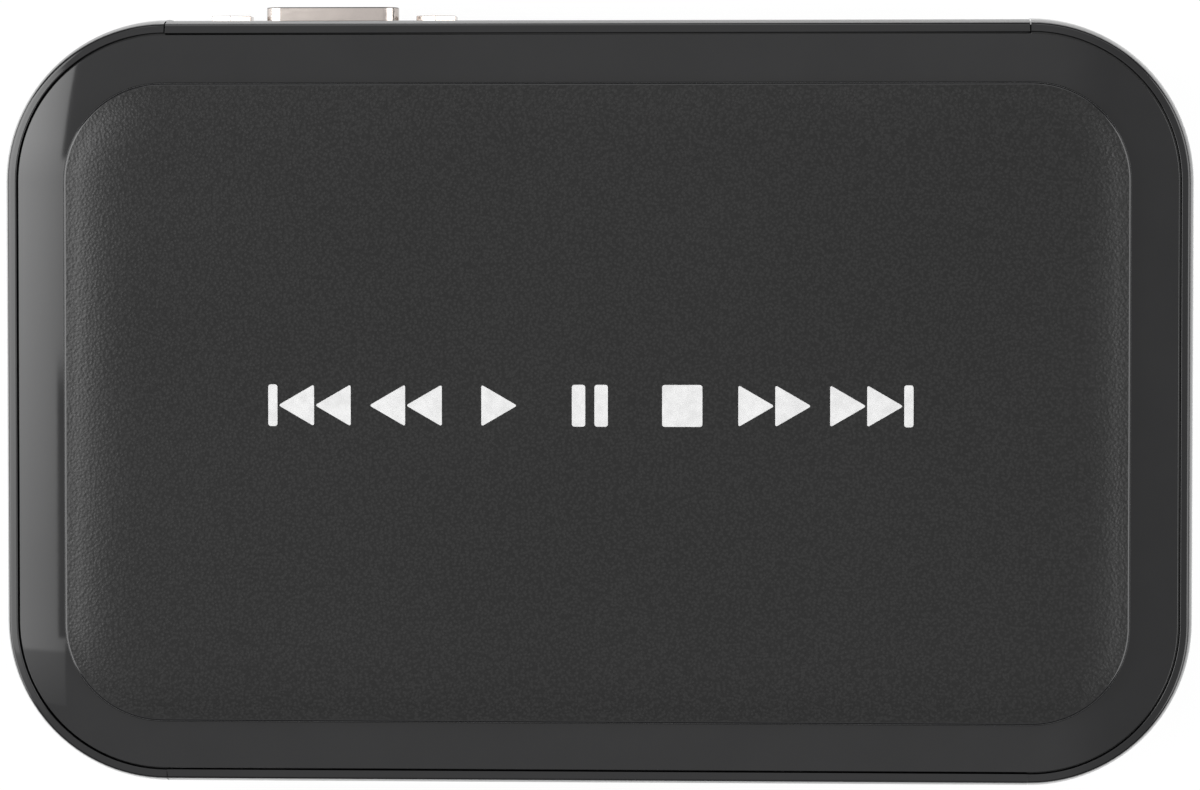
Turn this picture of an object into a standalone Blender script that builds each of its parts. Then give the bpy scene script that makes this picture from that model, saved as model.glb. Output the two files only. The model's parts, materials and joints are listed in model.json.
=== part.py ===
"""Desktop media player: a small plastic box with a board, rear and front sockets and a standby button.

Metres, +Z up. The origin is on the table, at the centre of the whole outline. The front faces -Y, the
rear sockets face +Y and +X is to the right.
"""
import math

import bmesh
import bpy
from mathutils import Vector

MM = 0.001
WELD = 0.005 * MM

# Case: the plan outline, its height and its wall
CASE_LENGTH = 143.5 * MM
CASE_DEPTH = 92.5 * MM
CORNER_RADIUS = 19.75 * MM
WALL = 2.0 * MM
FLOOR = 2.0 * MM
CORNER_STEPS = 8
FLARE_SHARES = (0.6, 0.85)

# Clearances
FIT_GAP = 0.3 * MM
SCREW_GAP = 0.2 * MM
CUTOUT_GAP = 0.4 * MM
SEAM = 0.15 * MM
OVERRUN = 1.0 * MM
SINK = 0.5 * MM

# Side wall section: how far it leans in from the widest outline
FOOT_PROUD = 1.2 * MM
BASE_INSET = 3.0 * MM
BASE_RISE = 3.0 * MM
LOWER_INSET = 0.35 * MM
BELLY_RISE = 10.8 * MM
RIM_INSET = 0.7 * MM
RIM_CURVE = 4
RIM_ROUND = 0.3 * MM
RIM_FALL = 0.15 * MM
LIP = 1.15 * MM
LEDGE_DROP = 1.6 * MM
INNER_FILLET = 1.4 * MM
SILL_RISE = 1.8 * MM

LOWER_Z = FOOT_PROUD + BASE_RISE
BELLY_Z = FOOT_PROUD + BELLY_RISE
FLOOR_TOP = FOOT_PROUD + FLOOR
SILL_Z = FLOOR_TOP + SILL_RISE

# The stack inside the case: board, then the tallest socket, then headroom under the cover
STANDOFF = 2.5 * MM
BOARD_THICKNESS = 1.6 * MM
VGA_FLANGE_HEIGHT = 12.5 * MM
HEADROOM = 2.5 * MM
BOARD_Z = FLOOR_TOP + STANDOFF + FIT_GAP
BOARD_TOP = BOARD_Z + BOARD_THICKNESS
SEAT_Z = BOARD_TOP + FIT_GAP
CEILING_Z = SEAT_Z + VGA_FLANGE_HEIGHT + HEADROOM

# Top cover: gloss band, panel shoulder and crown
GROOVE = 0.25 * MM
COVER_WALL = 1.8 * MM
BAND_LIFT = 0.1 * MM
BAND_EDGE_ROUND = 0.15 * MM
BAND_RISE = 1.0 * MM
BAND_WIDTH = 5.35 * MM
BAND_SWELL_SHARE = 0.545
PANEL_RISE = 2.3 * MM
SHOULDER_ROUND = 0.8 * MM
SHOULDER_LEAN = 0.15 * MM
CROWN = 0.6 * MM
CROWN_REACH = 9.6 * MM
TONGUE_DEPTH = 1.8 * MM
TONGUE_THICKNESS = 1.2 * MM
TOP_RIB_THICKNESS = 1.2 * MM
TOP_RIB_DROP = 1.6 * MM

RIM_HEIGHT = CEILING_Z + COVER_WALL - BAND_RISE - BAND_LIFT
LEDGE_Z = RIM_HEIGHT - LEDGE_DROP
TOTAL_HEIGHT = RIM_HEIGHT + BAND_LIFT + BAND_RISE + PANEL_RISE

# Panel inserts
PANEL_FLANGE = 1.45 * MM
PANEL_SET_BACK = 0.3 * MM
PANEL_EAR = 2.2 * MM
PLATE_THICKNESS = 1.75 * MM
PANEL_MARGIN = 3.0 * MM
BAY_RADIUS = 1.5 * MM
BAY_MARGIN = 0.9 * MM

PANEL_HALF = CASE_LENGTH / 2 - CORNER_RADIUS
INNER_RADIUS = CORNER_RADIUS - WALL
EAR_FALL = INNER_RADIUS - math.sqrt(INNER_RADIUS ** 2 - PANEL_EAR ** 2)
FLANGE_INSET = WALL + LOWER_INSET + EAR_FALL + FIT_GAP
PANEL_BACK = FLANGE_INSET + PANEL_FLANGE
CONNECTOR_INSET = PANEL_BACK + FIT_GAP
TONGUE_INSET = WALL + RIM_INSET + FIT_GAP
TONGUE_Z = LEDGE_Z + FIT_GAP - TONGUE_DEPTH
PANEL_FOOT = SILL_Z + FIT_GAP
PANEL_CORE_TOP = TONGUE_Z - FIT_GAP

# Rubber feet and screws
FOOT_RADIUS = 5.0 * MM
FOOT_POCKET = 1.0 * MM
FOOT_ROUND = 0.5 * MM
FOOT_SIDE = 23.75 * MM
FOOT_END = 12.25 * MM
SCREW_SIDE = 11.75 * MM
SCREW_END = 20.25 * MM
SCREW_RADIUS = 1.5 * MM
SCREW_HEAD_RADIUS = 2.8 * MM
SCREW_HEAD = 2.0 * MM
SCREW_LENGTH = 12.0 * MM
SCREW_SEAT = 4.8 * MM
BOSS_WALL = 1.5 * MM
BOSS_HEIGHT = 7.0 * MM
TOP_BOSS_RADIUS = 3.6 * MM

FOOT_X = CASE_LENGTH / 2 - FOOT_SIDE
FOOT_Y = CASE_DEPTH / 2 - FOOT_END
SCREW_X = CASE_LENGTH / 2 - SCREW_SIDE
SCREW_Y = CASE_DEPTH / 2 - SCREW_END
BOSS_RADIUS = SCREW_HEAD_RADIUS + FIT_GAP + BOSS_WALL

# Board and its standoffs
STANDOFF_RADIUS = 3.0 * MM
BOARD_BOSS_GAP = 2.4 * MM
BOARD_EDGE_GAP = 1.0 * MM
BOARD_CORNER = 2.0 * MM
BOARD_SCREW_SIDE = 4.0 * MM
BOARD_SCREW_END = 19.0 * MM
BOARD_SCREW_RADIUS = 1.25 * MM
BOARD_SCREW_HEAD_RADIUS = 2.4 * MM
BOARD_SCREW_HEAD = 1.5 * MM
BOARD_SCREW_LENGTH = 3.6 * MM

BOARD_LENGTH = 2 * (SCREW_X - BOSS_RADIUS - BOARD_BOSS_GAP)
BOARD_DEPTH = CASE_DEPTH - 2 * (PANEL_BACK + BOARD_EDGE_GAP)
BOARD_SCREW_X = BOARD_LENGTH / 2 - BOARD_SCREW_SIDE
BOARD_SCREW_Y = BOARD_DEPTH / 2 - BOARD_SCREW_END

# VGA socket: its two jackscrews stand 24.99 mm apart
VGA_FLANGE_THICKNESS = 0.8 * MM
VGA_SHELL_WIDTH = 16.1 * MM
VGA_SHELL_HEIGHT = 7.9 * MM
VGA_SHELL_LENGTH = 6.0 * MM
VGA_SHELL_WALL = 0.45 * MM
VGA_SHELL_ROUND = 1.9 * MM
VGA_SLANT = math.radians(10)
VGA_SCREW_OFFSET = 4.445 * MM
VGA_EAR = 2.905 * MM
VGA_HEX = 4.8 * MM
VGA_HEX_LENGTH = 5.05 * MM
VGA_THREAD_SHARE = 0.75
VGA_STUD_RADIUS = 1.2 * MM
VGA_STUD_LENGTH = 2.2 * MM
VGA_BODY_LENGTH = 19.3 * MM
VGA_BODY_DEPTH = 9.0 * MM
VGA_PIN_PITCH = 2.29 * MM
VGA_ROW_PITCH = 1.98 * MM
VGA_HOLE_RADIUS = 0.5 * MM
VGA_HOLE_DEPTH = 4.0 * MM
VGA_FACE_DROP = 0.4 * MM
VGA_ROWS = 3
VGA_PINS_IN_ROW = 5
VGA_SCREW_PITCH = VGA_SHELL_WIDTH + 2 * VGA_SCREW_OFFSET
VGA_FLANGE_LENGTH = VGA_SCREW_PITCH + 2 * VGA_EAR

# HDMI socket
HDMI_WIDTH = 15.0 * MM
HDMI_HEIGHT = 5.9 * MM
HDMI_DEPTH = 11.5 * MM
HDMI_WALL = 0.45 * MM
HDMI_CHAMFER = 1.6 * MM
HDMI_NOSE = 0.5 * MM
HDMI_TONGUE_WIDTH = 10.8 * MM
HDMI_TONGUE_THICKNESS = 1.0 * MM
HDMI_TONGUE_DROP = 0.6 * MM
HDMI_BLOCK_DEPTH = 3.5 * MM
HDMI_FACE_DROP = 1.5 * MM

# Round jacks
AV_WIDTH = 6.2 * MM
AV_HEIGHT = 5.6 * MM
AV_DEPTH = 12.0 * MM
AV_NOSE_RADIUS = 2.7 * MM
AV_NOSE_PAST_PLATE = 1.0 * MM
AV_BORE_RADIUS = 1.8 * MM
AV_BORE_DEPTH = 12.5 * MM
DC_WIDTH = 9.0 * MM
DC_HEIGHT = 10.9 * MM
DC_DEPTH = 14.0 * MM
DC_REAR_HEIGHT = 6.6 * MM
DC_FACE_DEPTH = 3.4 * MM
DC_BORE_RADIUS = 3.1 * MM
DC_BORE_DEPTH = 10.0 * MM
DC_PIN_RADIUS = 1.0 * MM
DC_PIN_DROP = 0.8 * MM
DC_PLUG_RADIUS = 3.8 * MM

# USB sockets and the card socket
USB_WIDTH = 13.1 * MM
USB_HEIGHT = 5.8 * MM
USB_DEPTH = 14.0 * MM
USB_WALL = 0.4 * MM
USB_ROUND = 0.6 * MM
USB_FACE_INSET = 0.6 * MM
USB_TONGUE_WIDTH = 11.2 * MM
USB_TONGUE_THICKNESS = 1.9 * MM
USB_TONGUE_DROP = 0.5 * MM
USB_TONGUE_FACE = 1.2 * MM
USB_BLOCK_DEPTH = 3.0 * MM
SD_DEPTH = 27.0 * MM
SD_HEIGHT = 3.6 * MM
SD_SHEET = 0.4 * MM
SD_FLOOR = 0.6 * MM
SD_FACE_INSET = 2.9 * MM
SD_CARD_WIDTH = 24.4 * MM
SD_RAIL = 1.4 * MM
SD_REAR_WALL = 1.6 * MM
SD_SLOT_HEIGHT = 2.8 * MM
SD_SLOT_ROUND = 0.6 * MM
SD_WIDTH = SD_CARD_WIDTH + 2 * (SD_RAIL + SD_SHEET)

# Remote receiver, its window and the status light
WINDOW_WIDTH = 11.0 * MM
WINDOW_HEIGHT = 6.0 * MM
WINDOW_ROUND = 1.5 * MM
WINDOW_RIM = 1.0 * MM
WINDOW_RIM_THICKNESS = 0.8 * MM
RECEIVER_WIDTH = 5.3 * MM
RECEIVER_DEPTH = 3.6 * MM
RECEIVER_HEIGHT = 7.0 * MM
RECEIVER_LENS_RADIUS = 1.9 * MM
RECEIVER_INSET = 5.4 * MM
LIGHT_PIPE_RADIUS = 1.5 * MM
LIGHT_PIPE_FLANGE_RADIUS = 2.4 * MM
LIGHT_PIPE_FLANGE = 0.8 * MM
LED_RADIUS = 1.5 * MM
LED_LENGTH = 5.0 * MM
LED_FLANGE_RADIUS = 1.9 * MM
LED_FLANGE = 0.8 * MM

# Standby button and its switch
BUTTON_RADIUS = 2.5 * MM
BUTTON_PROUD = 0.35 * MM
BUTTON_DOME = 0.5 * MM
BUTTON_FLANGE_RADIUS = 3.3 * MM
BUTTON_FLANGE = 0.8 * MM
BUTTON_STEM_RADIUS = 1.5 * MM
BUTTON_TRAVEL = 0.3 * MM
SWITCH_SIZE = 6.0 * MM
SWITCH_DEPTH = 3.6 * MM
SWITCH_INSET = 8.2 * MM
PLUNGER_RADIUS = 1.7 * MM
PLUNGER_PROUD = 1.0 * MM
PLUNGER_DEPTH = 1.6 * MM

# Processor, its pad and heat sink
PROCESSOR_SIZE = 17.0 * MM
PROCESSOR_HEIGHT = 1.3 * MM
PAD_SIZE = 15.0 * MM
PAD_HEIGHT = 0.6 * MM
SINK_SIZE = 24.0 * MM
SINK_BASE = 1.5 * MM
SINK_HEIGHT = 6.5 * MM
SINK_FIN = 1.0 * MM
SINK_FINS = 8
PROCESSOR_PLACE_SHARES = (-0.03, 0.14)

# Rows of sockets in each panel, from the left: the width that each takes, and the free width between
# the panel's ends and the sockets, as shares of it
REAR_ROW = {
    "vga": VGA_FLANGE_LENGTH,
    "hdmi": HDMI_WIDTH,
    "av": AV_WIDTH,
    "usb": USB_WIDTH,
    "dc": DC_WIDTH,
}
REAR_GAP_SHARES = (0.144, 0.164, 0.247, 0.164, 0.197, 0.084)
FRONT_ROW = {
    "window": WINDOW_WIDTH + 2 * WINDOW_RIM,
    "light": 2 * LIGHT_PIPE_FLANGE_RADIUS,
    "card": SD_WIDTH,
    "usb": USB_WIDTH,
    "button": 2 * BUTTON_FLANGE_RADIUS,
}
FRONT_GAP_SHARES = (0.031, 0.086, 0.172, 0.185, 0.489, 0.037)

# Flat chips: length, width and height
CHIP_GAP = 2.0 * MM
CHIP_EDGE = 0.15 * MM
CHIP_SIZES = {
    "memory_chip_left": (8.0 * MM, 12.5 * MM, 1.1 * MM),
    "memory_chip_right": (8.0 * MM, 12.5 * MM, 1.1 * MM),
    "flash_chip": (12.0 * MM, 18.4 * MM, 1.1 * MM),
    "audio_chip": (5.0 * MM, 6.2 * MM, 1.5 * MM),
    "regulator": (6.5 * MM, 6.1 * MM, 2.3 * MM),
}
INDUCTOR_SIZE = 7.0 * MM
INDUCTOR_HEIGHT = 4.0 * MM
INDUCTOR_CORNER = 1.6 * MM
CAPACITOR_RADIUS = 3.15 * MM
CAPACITOR_HEIGHT = 7.7 * MM
CAPACITOR_BASE = 0.9 * MM
CAPACITOR_ROUND = 0.4 * MM
CAPACITOR_NECK = 0.3 * MM
CRYSTAL_LENGTH = 11.0 * MM
CRYSTAL_WIDTH = 4.6 * MM
CRYSTAL_HEIGHT = 3.6 * MM

# How far back each row of components lies, as a share of half the board's depth
MEMORY_ROW_SHARE = 0.08
FRONT_ROW_SHARE = -0.3
REAR_ROW_SHARE = 0.42

# Floor vents
VENT_WIDTH = 1.8 * MM
VENT_LENGTH = 22.0 * MM
VENT_PITCH = 4.0 * MM
VENTS = 11

# Fineness of round pieces
ARC_STEPS = 4
ROUND_STEPS = 20
SMALL_STEPS = 12
PIN_STEPS = 6


def places_in_row(widths, gap_shares, row_width):
    """Centre of each piece in a row: the free width is dealt out between the pieces by its shares."""
    free = row_width - sum(widths.values())
    edge = -row_width / 2
    centres = {}
    for share, (name, width) in zip(gap_shares, widths.items()):
        edge += share * free + width
        centres[name] = edge - width / 2
    return centres


REAR_X = places_in_row(REAR_ROW, REAR_GAP_SHARES, 2 * PANEL_HALF)
FRONT_X = places_in_row(FRONT_ROW, FRONT_GAP_SHARES, 2 * (PANEL_HALF - PANEL_MARGIN))
REAR_REACH = VGA_SHELL_LENGTH - CONNECTOR_INSET
CASE_Y = (BUTTON_PROUD - REAR_REACH) / 2
REAR_Y = CASE_Y + CASE_DEPTH / 2
FRONT_Y = CASE_Y - CASE_DEPTH / 2
VGA_Z = SEAT_Z + VGA_FLANGE_HEIGHT / 2
BAY_BOTTOM = VGA_Z - VGA_FLANGE_HEIGHT / 2
BAY_TOP = VGA_Z + VGA_SHELL_HEIGHT / 2 + BAY_MARGIN
SWITCH_Z = SEAT_Z + SWITCH_SIZE / 2
WINDOW_Z = SEAT_Z + RECEIVER_HEIGHT - WINDOW_HEIGHT / 2
SD_Z = SEAT_Z + SD_FLOOR + SD_SLOT_HEIGHT / 2

MATERIALS = {
    "gloss_shell": ((0.018, 0.018, 0.019), 0.12, 0.0),
    "cover_plastic": ((0.02, 0.02, 0.021), 0.35, 0.0),
    "dark_plastic": ((0.012, 0.012, 0.012), 0.5, 0.0),
    "smoked_window": ((0.02, 0.004, 0.006), 0.08, 0.0),
    "clear_plastic": ((0.6, 0.62, 0.65), 0.15, 0.0),
    "rubber": ((0.015, 0.015, 0.015), 0.85, 0.0),
    "nickel": ((0.55, 0.53, 0.48), 0.3, 1.0),
    "zinc_steel": ((0.5, 0.5, 0.52), 0.35, 1.0),
    "board_green": ((0.01, 0.11, 0.045), 0.45, 0.0),
    "socket_blue": ((0.02, 0.06, 0.3), 0.45, 0.0),
    "chip_black": ((0.016, 0.016, 0.017), 0.6, 0.0),
    "silicone": ((0.35, 0.4, 0.5), 0.7, 0.0),
    "aluminium": ((0.6, 0.6, 0.61), 0.35, 1.0),
    "ferrite": ((0.06, 0.06, 0.065), 0.7, 0.0),
}

# Outlines lie flat or stand up, with their extrusion along this axis
TURN_TO_AXIS = {
    "Z": (0.0, 0.0, 0.0),
    "Y": (math.pi / 2, 0.0, 0.0),
    "X": (math.pi / 2, 0.0, math.pi / 2),
}
# A turned piece's own +Z ends up along this direction
TURN_TO_DIRECTION = {
    "up": (0.0, 0.0, 0.0),
    "down": (math.pi, 0.0, 0.0),
    "rear": (-math.pi / 2, 0.0, 0.0),
    "front": (math.pi / 2, 0.0, 0.0),
}
FOUR_CORNERS = {
    "front_left": (-1, -1),
    "front_right": (1, -1),
    "rear_left": (-1, 1),
    "rear_right": (1, 1),
}


def clear_scene():
    for old in list(bpy.data.objects):
        bpy.data.objects.remove(old, do_unlink=True)


def make_collection(name):
    collection = bpy.data.collections.new(name)
    bpy.context.scene.collection.children.link(collection)
    return collection


def make_material(name):
    colour, roughness, metallic = MATERIALS[name]
    material = bpy.data.materials.new(name)
    material.use_nodes = True
    shader = material.node_tree.nodes["Principled BSDF"]
    shader.inputs["Base Color"].default_value = (*colour, 1.0)
    shader.inputs["Roughness"].default_value = roughness
    shader.inputs["Metallic"].default_value = metallic
    material.diffuse_color = (*colour, 1.0)
    return material


def add_object(name, mesh, location, rotation=(0.0, 0.0, 0.0)):
    piece = bpy.data.objects.new(name, mesh)
    piece.location = location
    piece.rotation_euler = rotation
    parts.objects.link(piece)
    return piece


def paint(piece, material_name):
    if material_name not in bpy.data.materials:
        make_material(material_name)
    piece.data.materials.append(bpy.data.materials[material_name])
    return piece


def box(name, low, high):
    """Box between two opposite corners, with its origin at its centre."""
    low = Vector(low)
    high = Vector(high)
    size = [abs(length) for length in high - low]
    mesh = bpy.data.meshes.new(name)
    shape = bmesh.new()
    bmesh.ops.create_cube(shape, size=1.0)
    bmesh.ops.scale(shape, vec=size, verts=shape.verts)
    shape.to_mesh(mesh)
    shape.free()
    return add_object(name, mesh, (low + high) / 2)


def round_edges(piece, width, segments=1):
    bevel = piece.modifiers.new("edge", "BEVEL")
    bevel.width = width
    bevel.segments = segments
    bevel.limit_method = "ANGLE"
    return piece


def turned(name, profile, location, direction="up", steps=ROUND_STEPS):
    """Turned piece from (radius, height) points that run down its outer side, top to bottom."""
    mesh = bpy.data.meshes.new(name)
    shape = bmesh.new()
    corners = [shape.verts.new((radius, 0.0, height)) for radius, height in profile]
    for upper, lower in zip(corners, corners[1:]):
        shape.edges.new((upper, lower))
    shape.to_mesh(mesh)
    shape.free()
    piece = add_object(name, mesh, location, TURN_TO_DIRECTION[direction])
    screw = piece.modifiers.new("turn", "SCREW")
    screw.steps = steps
    screw.render_steps = steps
    screw.use_merge_vertices = True
    screw.merge_threshold = WELD
    screw.use_smooth_shade = True
    return piece


def rod(name, radius, length, location, direction="up", steps=SMALL_STEPS):
    """Plain cylinder that starts at its location and runs along its direction."""
    profile = [(0.0, length), (radius, length), (radius, 0.0), (0.0, 0.0)]
    return turned(name, profile, location, direction, steps)


def prism(name, outlines, depth, location, axis="Z"):
    """Flat outlines, the first one solid and the rest holes in it, extruded evenly about the location."""
    curve = bpy.data.curves.new(name, "CURVE")
    curve.dimensions = "2D"
    curve.fill_mode = "BOTH"
    curve.extrude = depth / 2
    for outline in outlines:
        spline = curve.splines.new("POLY")
        spline.points.add(len(outline) - 1)
        for point, (across, up) in zip(spline.points, outline):
            point.co = (across, up, 0.0, 1.0)
        spline.use_cyclic_u = True
    guide = add_object(name, curve, location, TURN_TO_AXIS[axis])
    bpy.context.view_layer.update()
    drawn = guide.evaluated_get(bpy.context.evaluated_depsgraph_get())
    mesh = bpy.data.meshes.new_from_object(drawn)
    placed = guide.matrix_world.copy()
    bpy.data.objects.remove(guide)
    shape = bmesh.new()
    shape.from_mesh(mesh)
    bmesh.ops.remove_doubles(shape, verts=shape.verts, dist=WELD)
    bmesh.ops.recalc_face_normals(shape, faces=shape.faces)
    shape.to_mesh(mesh)
    shape.free()
    piece = bpy.data.objects.new(name, mesh)
    parts.objects.link(piece)
    piece.matrix_world = placed
    return piece


def rounded_polygon(corners, radius, steps=ARC_STEPS):
    """Convex outline with each corner replaced by an arc."""
    outline = []
    for index, corner in enumerate(corners):
        here = Vector(corner)
        before = (Vector(corners[index - 1]) - here).normalized()
        after = (Vector(corners[(index + 1) % len(corners)]) - here).normalized()
        half_angle = before.angle(after) / 2
        centre = here + (before + after).normalized() * (radius / math.sin(half_angle))
        start = here + before * (radius / math.tan(half_angle)) - centre
        end = here + after * (radius / math.tan(half_angle)) - centre
        sweep = start.angle_signed(end)
        for step in range(steps + 1):
            turn = -sweep * step / steps
            across = start.x * math.cos(turn) - start.y * math.sin(turn)
            up = start.x * math.sin(turn) + start.y * math.cos(turn)
            outline.append((centre.x + across, centre.y + up))
    return outline


def rectangle(width, height):
    across = width / 2
    up = height / 2
    return [(-across, -up), (across, -up), (across, up), (-across, up)]


def rounded_rectangle(width, height, radius, steps=ARC_STEPS):
    return rounded_polygon(rectangle(width, height), radius, steps)


def circle(radius, steps=SMALL_STEPS):
    turns = [2 * math.pi * step / steps for step in range(steps)]
    return [(radius * math.cos(turn), radius * math.sin(turn)) for turn in turns]


def shifted(outline, across, up=0.0):
    return [(x + across, y + up) for x, y in outline]


def use_tool(target, tool, operation):
    """Cut or join the tool with the target, and keep it as a wire guide."""
    parts.objects.unlink(tool)
    cutters.objects.link(tool)
    tool.hide_render = True
    tool.display_type = "WIRE"
    change = target.modifiers.new(tool.name, "BOOLEAN")
    change.solver = "EXACT"
    change.operation = operation
    change.object = tool


def cut(target, *tools):
    for tool in tools:
        use_tool(target, tool, "DIFFERENCE")


def join(target, *tools):
    for tool in tools:
        use_tool(target, tool, "UNION")


def wall_inset(height):
    """How far the outer wall stands in from the widest outline, above the curved foot of the wall."""
    if height < BELLY_Z:
        return LOWER_INSET * ((BELLY_Z - height) / (BELLY_Z - LOWER_Z)) ** 2
    return RIM_INSET * ((height - BELLY_Z) / (RIM_HEIGHT - BELLY_Z)) ** RIM_CURVE


def panel_face(inset):
    """The panel inserts stay flat where the case wall bulges past them."""
    return max(inset, PANEL_SET_BACK)


def outer_wall(foot):
    """Outer face of the wall as (inset, height), from a foot height to the rounded edge of the rim."""
    points = [(wall_inset(foot), foot)]
    for share in (0.5, 1.0):
        height = foot + share * (BELLY_Z - foot)
        points.append((wall_inset(height), height))
    shoulder = RIM_HEIGHT - RIM_FALL - RIM_ROUND
    for share in FLARE_SHARES:
        height = BELLY_Z + share * (shoulder - BELLY_Z)
        points.append((wall_inset(height), height))
    for turn in (0.0, math.pi / 4, math.pi / 2):
        inset = RIM_INSET + RIM_ROUND * (1 - math.cos(turn))
        points.append((inset, shoulder + RIM_ROUND * math.sin(turn)))
    return points


def rim_and_inner_wall():
    """Top of the rim, the ledge that carries the cover and the inner face down to the belly."""
    return [
        (RIM_INSET + LIP, RIM_HEIGHT),
        (RIM_INSET + LIP, LEDGE_Z),
        (WALL + wall_inset(LEDGE_Z), LEDGE_Z),
        (WALL, BELLY_Z),
    ]


def add_ring(shape, inset, height):
    """Corners along the case's plan outline, moved in and up."""
    radius = CORNER_RADIUS - inset
    straight_x = CASE_LENGTH / 2 - CORNER_RADIUS
    straight_y = CASE_DEPTH / 2 - CORNER_RADIUS
    corners = []
    for quarter, (side_x, side_y) in enumerate(((1, 1), (-1, 1), (-1, -1), (1, -1))):
        for step in range(CORNER_STEPS + 1):
            turn = math.pi / 2 * (quarter + step / CORNER_STEPS)
            across = side_x * straight_x + radius * math.cos(turn)
            along = side_y * straight_y + radius * math.sin(turn)
            corners.append(shape.verts.new((across, along, height)))
    return corners


def moulding(name, profile):
    """Closed shell lofted through rings of the plan outline: one ring for each (inset, height)."""
    mesh = bpy.data.meshes.new(name)
    shape = bmesh.new()
    rings = [add_ring(shape, inset, height) for inset, height in profile]
    for lower, upper in zip(rings, rings[1:]):
        for index in range(len(lower)):
            shape.faces.new((lower[index - 1], lower[index], upper[index], upper[index - 1]))
    for end in (0, -1):
        shape.faces.new(rings[end])
    bmesh.ops.recalc_face_normals(shape, faces=shape.faces)
    shape.to_mesh(mesh)
    shape.free()
    return add_object(name, mesh, (0.0, CASE_Y, 0.0))


def make_bottom_case():
    base = []
    for step in range(ARC_STEPS):
        turn = math.pi / 2 * step / ARC_STEPS
        inset = BASE_INSET - (BASE_INSET - LOWER_INSET) * math.sin(turn)
        base.append((inset, FOOT_PROUD + BASE_RISE * (1 - math.cos(turn))))
    fillet_foot = WALL + LOWER_INSET + INNER_FILLET
    floor = [(WALL + LOWER_INSET, FLOOR_TOP + INNER_FILLET), (fillet_foot, FLOOR_TOP)]
    case = moulding("bottom_case", base + outer_wall(LOWER_Z) + rim_and_inner_wall() + floor)
    paint(case, "gloss_shell")
    for name, side in (("front", -1), ("rear", 1)):
        outer = side * (CASE_DEPTH / 2 + OVERRUN)
        inner = side * (CASE_DEPTH / 2 - FLANGE_INSET)
        low = (-PANEL_HALF, CASE_Y + inner, SILL_Z)
        high = (PANEL_HALF, CASE_Y + outer, RIM_HEIGHT + OVERRUN)
        cut(case, box(f"{name}_opening", low, high))
    for name, (side_x, side_y) in FOUR_CORNERS.items():
        add_case_boss(case, name, side_x, side_y)
        add_standoff(case, name, side_x, side_y)
        add_panel_rib(case, name, side_x, side_y)
        foot_place = (side_x * FOOT_X, CASE_Y + side_y * FOOT_Y, FOOT_PROUD - OVERRUN)
        cut(case, rod(f"{name}_foot_pocket", FOOT_RADIUS + FIT_GAP, OVERRUN + FOOT_POCKET, foot_place,
                      steps=ROUND_STEPS))
    slot = rounded_rectangle(VENT_WIDTH, VENT_LENGTH, VENT_WIDTH / 2 - SCREW_GAP, 2)
    first = -VENT_PITCH * (VENTS - 1) / 2
    slots = [shifted(slot, first + VENT_PITCH * index) for index in range(VENTS)]
    cut(case, prism("floor_vents", slots, FLOOR + 2 * OVERRUN, (0.0, CASE_Y, FOOT_PROUD + FLOOR / 2)))
    return case


def add_case_boss(case, name, side_x, side_y):
    """Boss over a counterbored hole for a screw driven from below."""
    place = (side_x * SCREW_X, CASE_Y + side_y * SCREW_Y, 0.0)
    bore = SCREW_RADIUS + SCREW_GAP
    counterbore = SCREW_HEAD_RADIUS + FIT_GAP
    top = FLOOR_TOP + BOSS_HEIGHT
    base = FLOOR_TOP - SINK
    boss = [(0.0, top), (BOSS_RADIUS, top), (BOSS_RADIUS, base), (0.0, base)]
    join(case, turned(f"{name}_boss", boss, place))
    below = FOOT_PROUD - OVERRUN
    hole = [
        (0.0, top + OVERRUN),
        (bore, top + OVERRUN),
        (bore, FOOT_PROUD + SCREW_SEAT),
        (counterbore, FOOT_PROUD + SCREW_SEAT),
        (counterbore, below),
        (0.0, below),
    ]
    cut(case, turned(f"{name}_boss_hole", hole, place, steps=SMALL_STEPS))


def add_standoff(case, name, side_x, side_y):
    place = (side_x * BOARD_SCREW_X, CASE_Y + side_y * BOARD_SCREW_Y, FLOOR_TOP - SINK)
    join(case, rod(f"{name}_standoff", STANDOFF_RADIUS, STANDOFF + SINK, place, steps=ROUND_STEPS))
    bottom = BOARD_TOP - BOARD_SCREW_LENGTH
    depth = FLOOR_TOP + STANDOFF - bottom + OVERRUN
    hole_place = (place[0], place[1], bottom)
    cut(case, rod(f"{name}_standoff_hole", BOARD_SCREW_RADIUS + SCREW_GAP, depth, hole_place))


def add_panel_rib(case, name, side_x, side_y):
    """Upright rib that keeps a panel insert's ear against the wall."""
    inner_x = BOARD_LENGTH / 2 + FIT_GAP
    outer_x = inner_x + 2 * PANEL_FLANGE
    near = CASE_DEPTH / 2 - PANEL_BACK - FIT_GAP
    far = near - PANEL_FLANGE
    inner_corner = (side_x * inner_x, CASE_Y + side_y * near, FLOOR_TOP - SINK)
    outer_corner = (side_x * outer_x, CASE_Y + side_y * far, BELLY_Z)
    join(case, box(f"{name}_panel_rib", inner_corner, outer_corner))


def crown_height(inset):
    """Top face of the raised panel, which flattens out towards its middle."""
    share = max(0.0, 1 - (inset - panel_edge_inset()) / CROWN_REACH)
    return TOTAL_HEIGHT - CROWN * share ** 2


def cover_edge_inset():
    return RIM_INSET + LIP + GROOVE


def panel_edge_inset():
    """Inset where the panel's rounded shoulder ends and its crown begins."""
    return cover_edge_inset() + BAND_WIDTH + SHOULDER_LEAN + SHOULDER_ROUND


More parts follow.
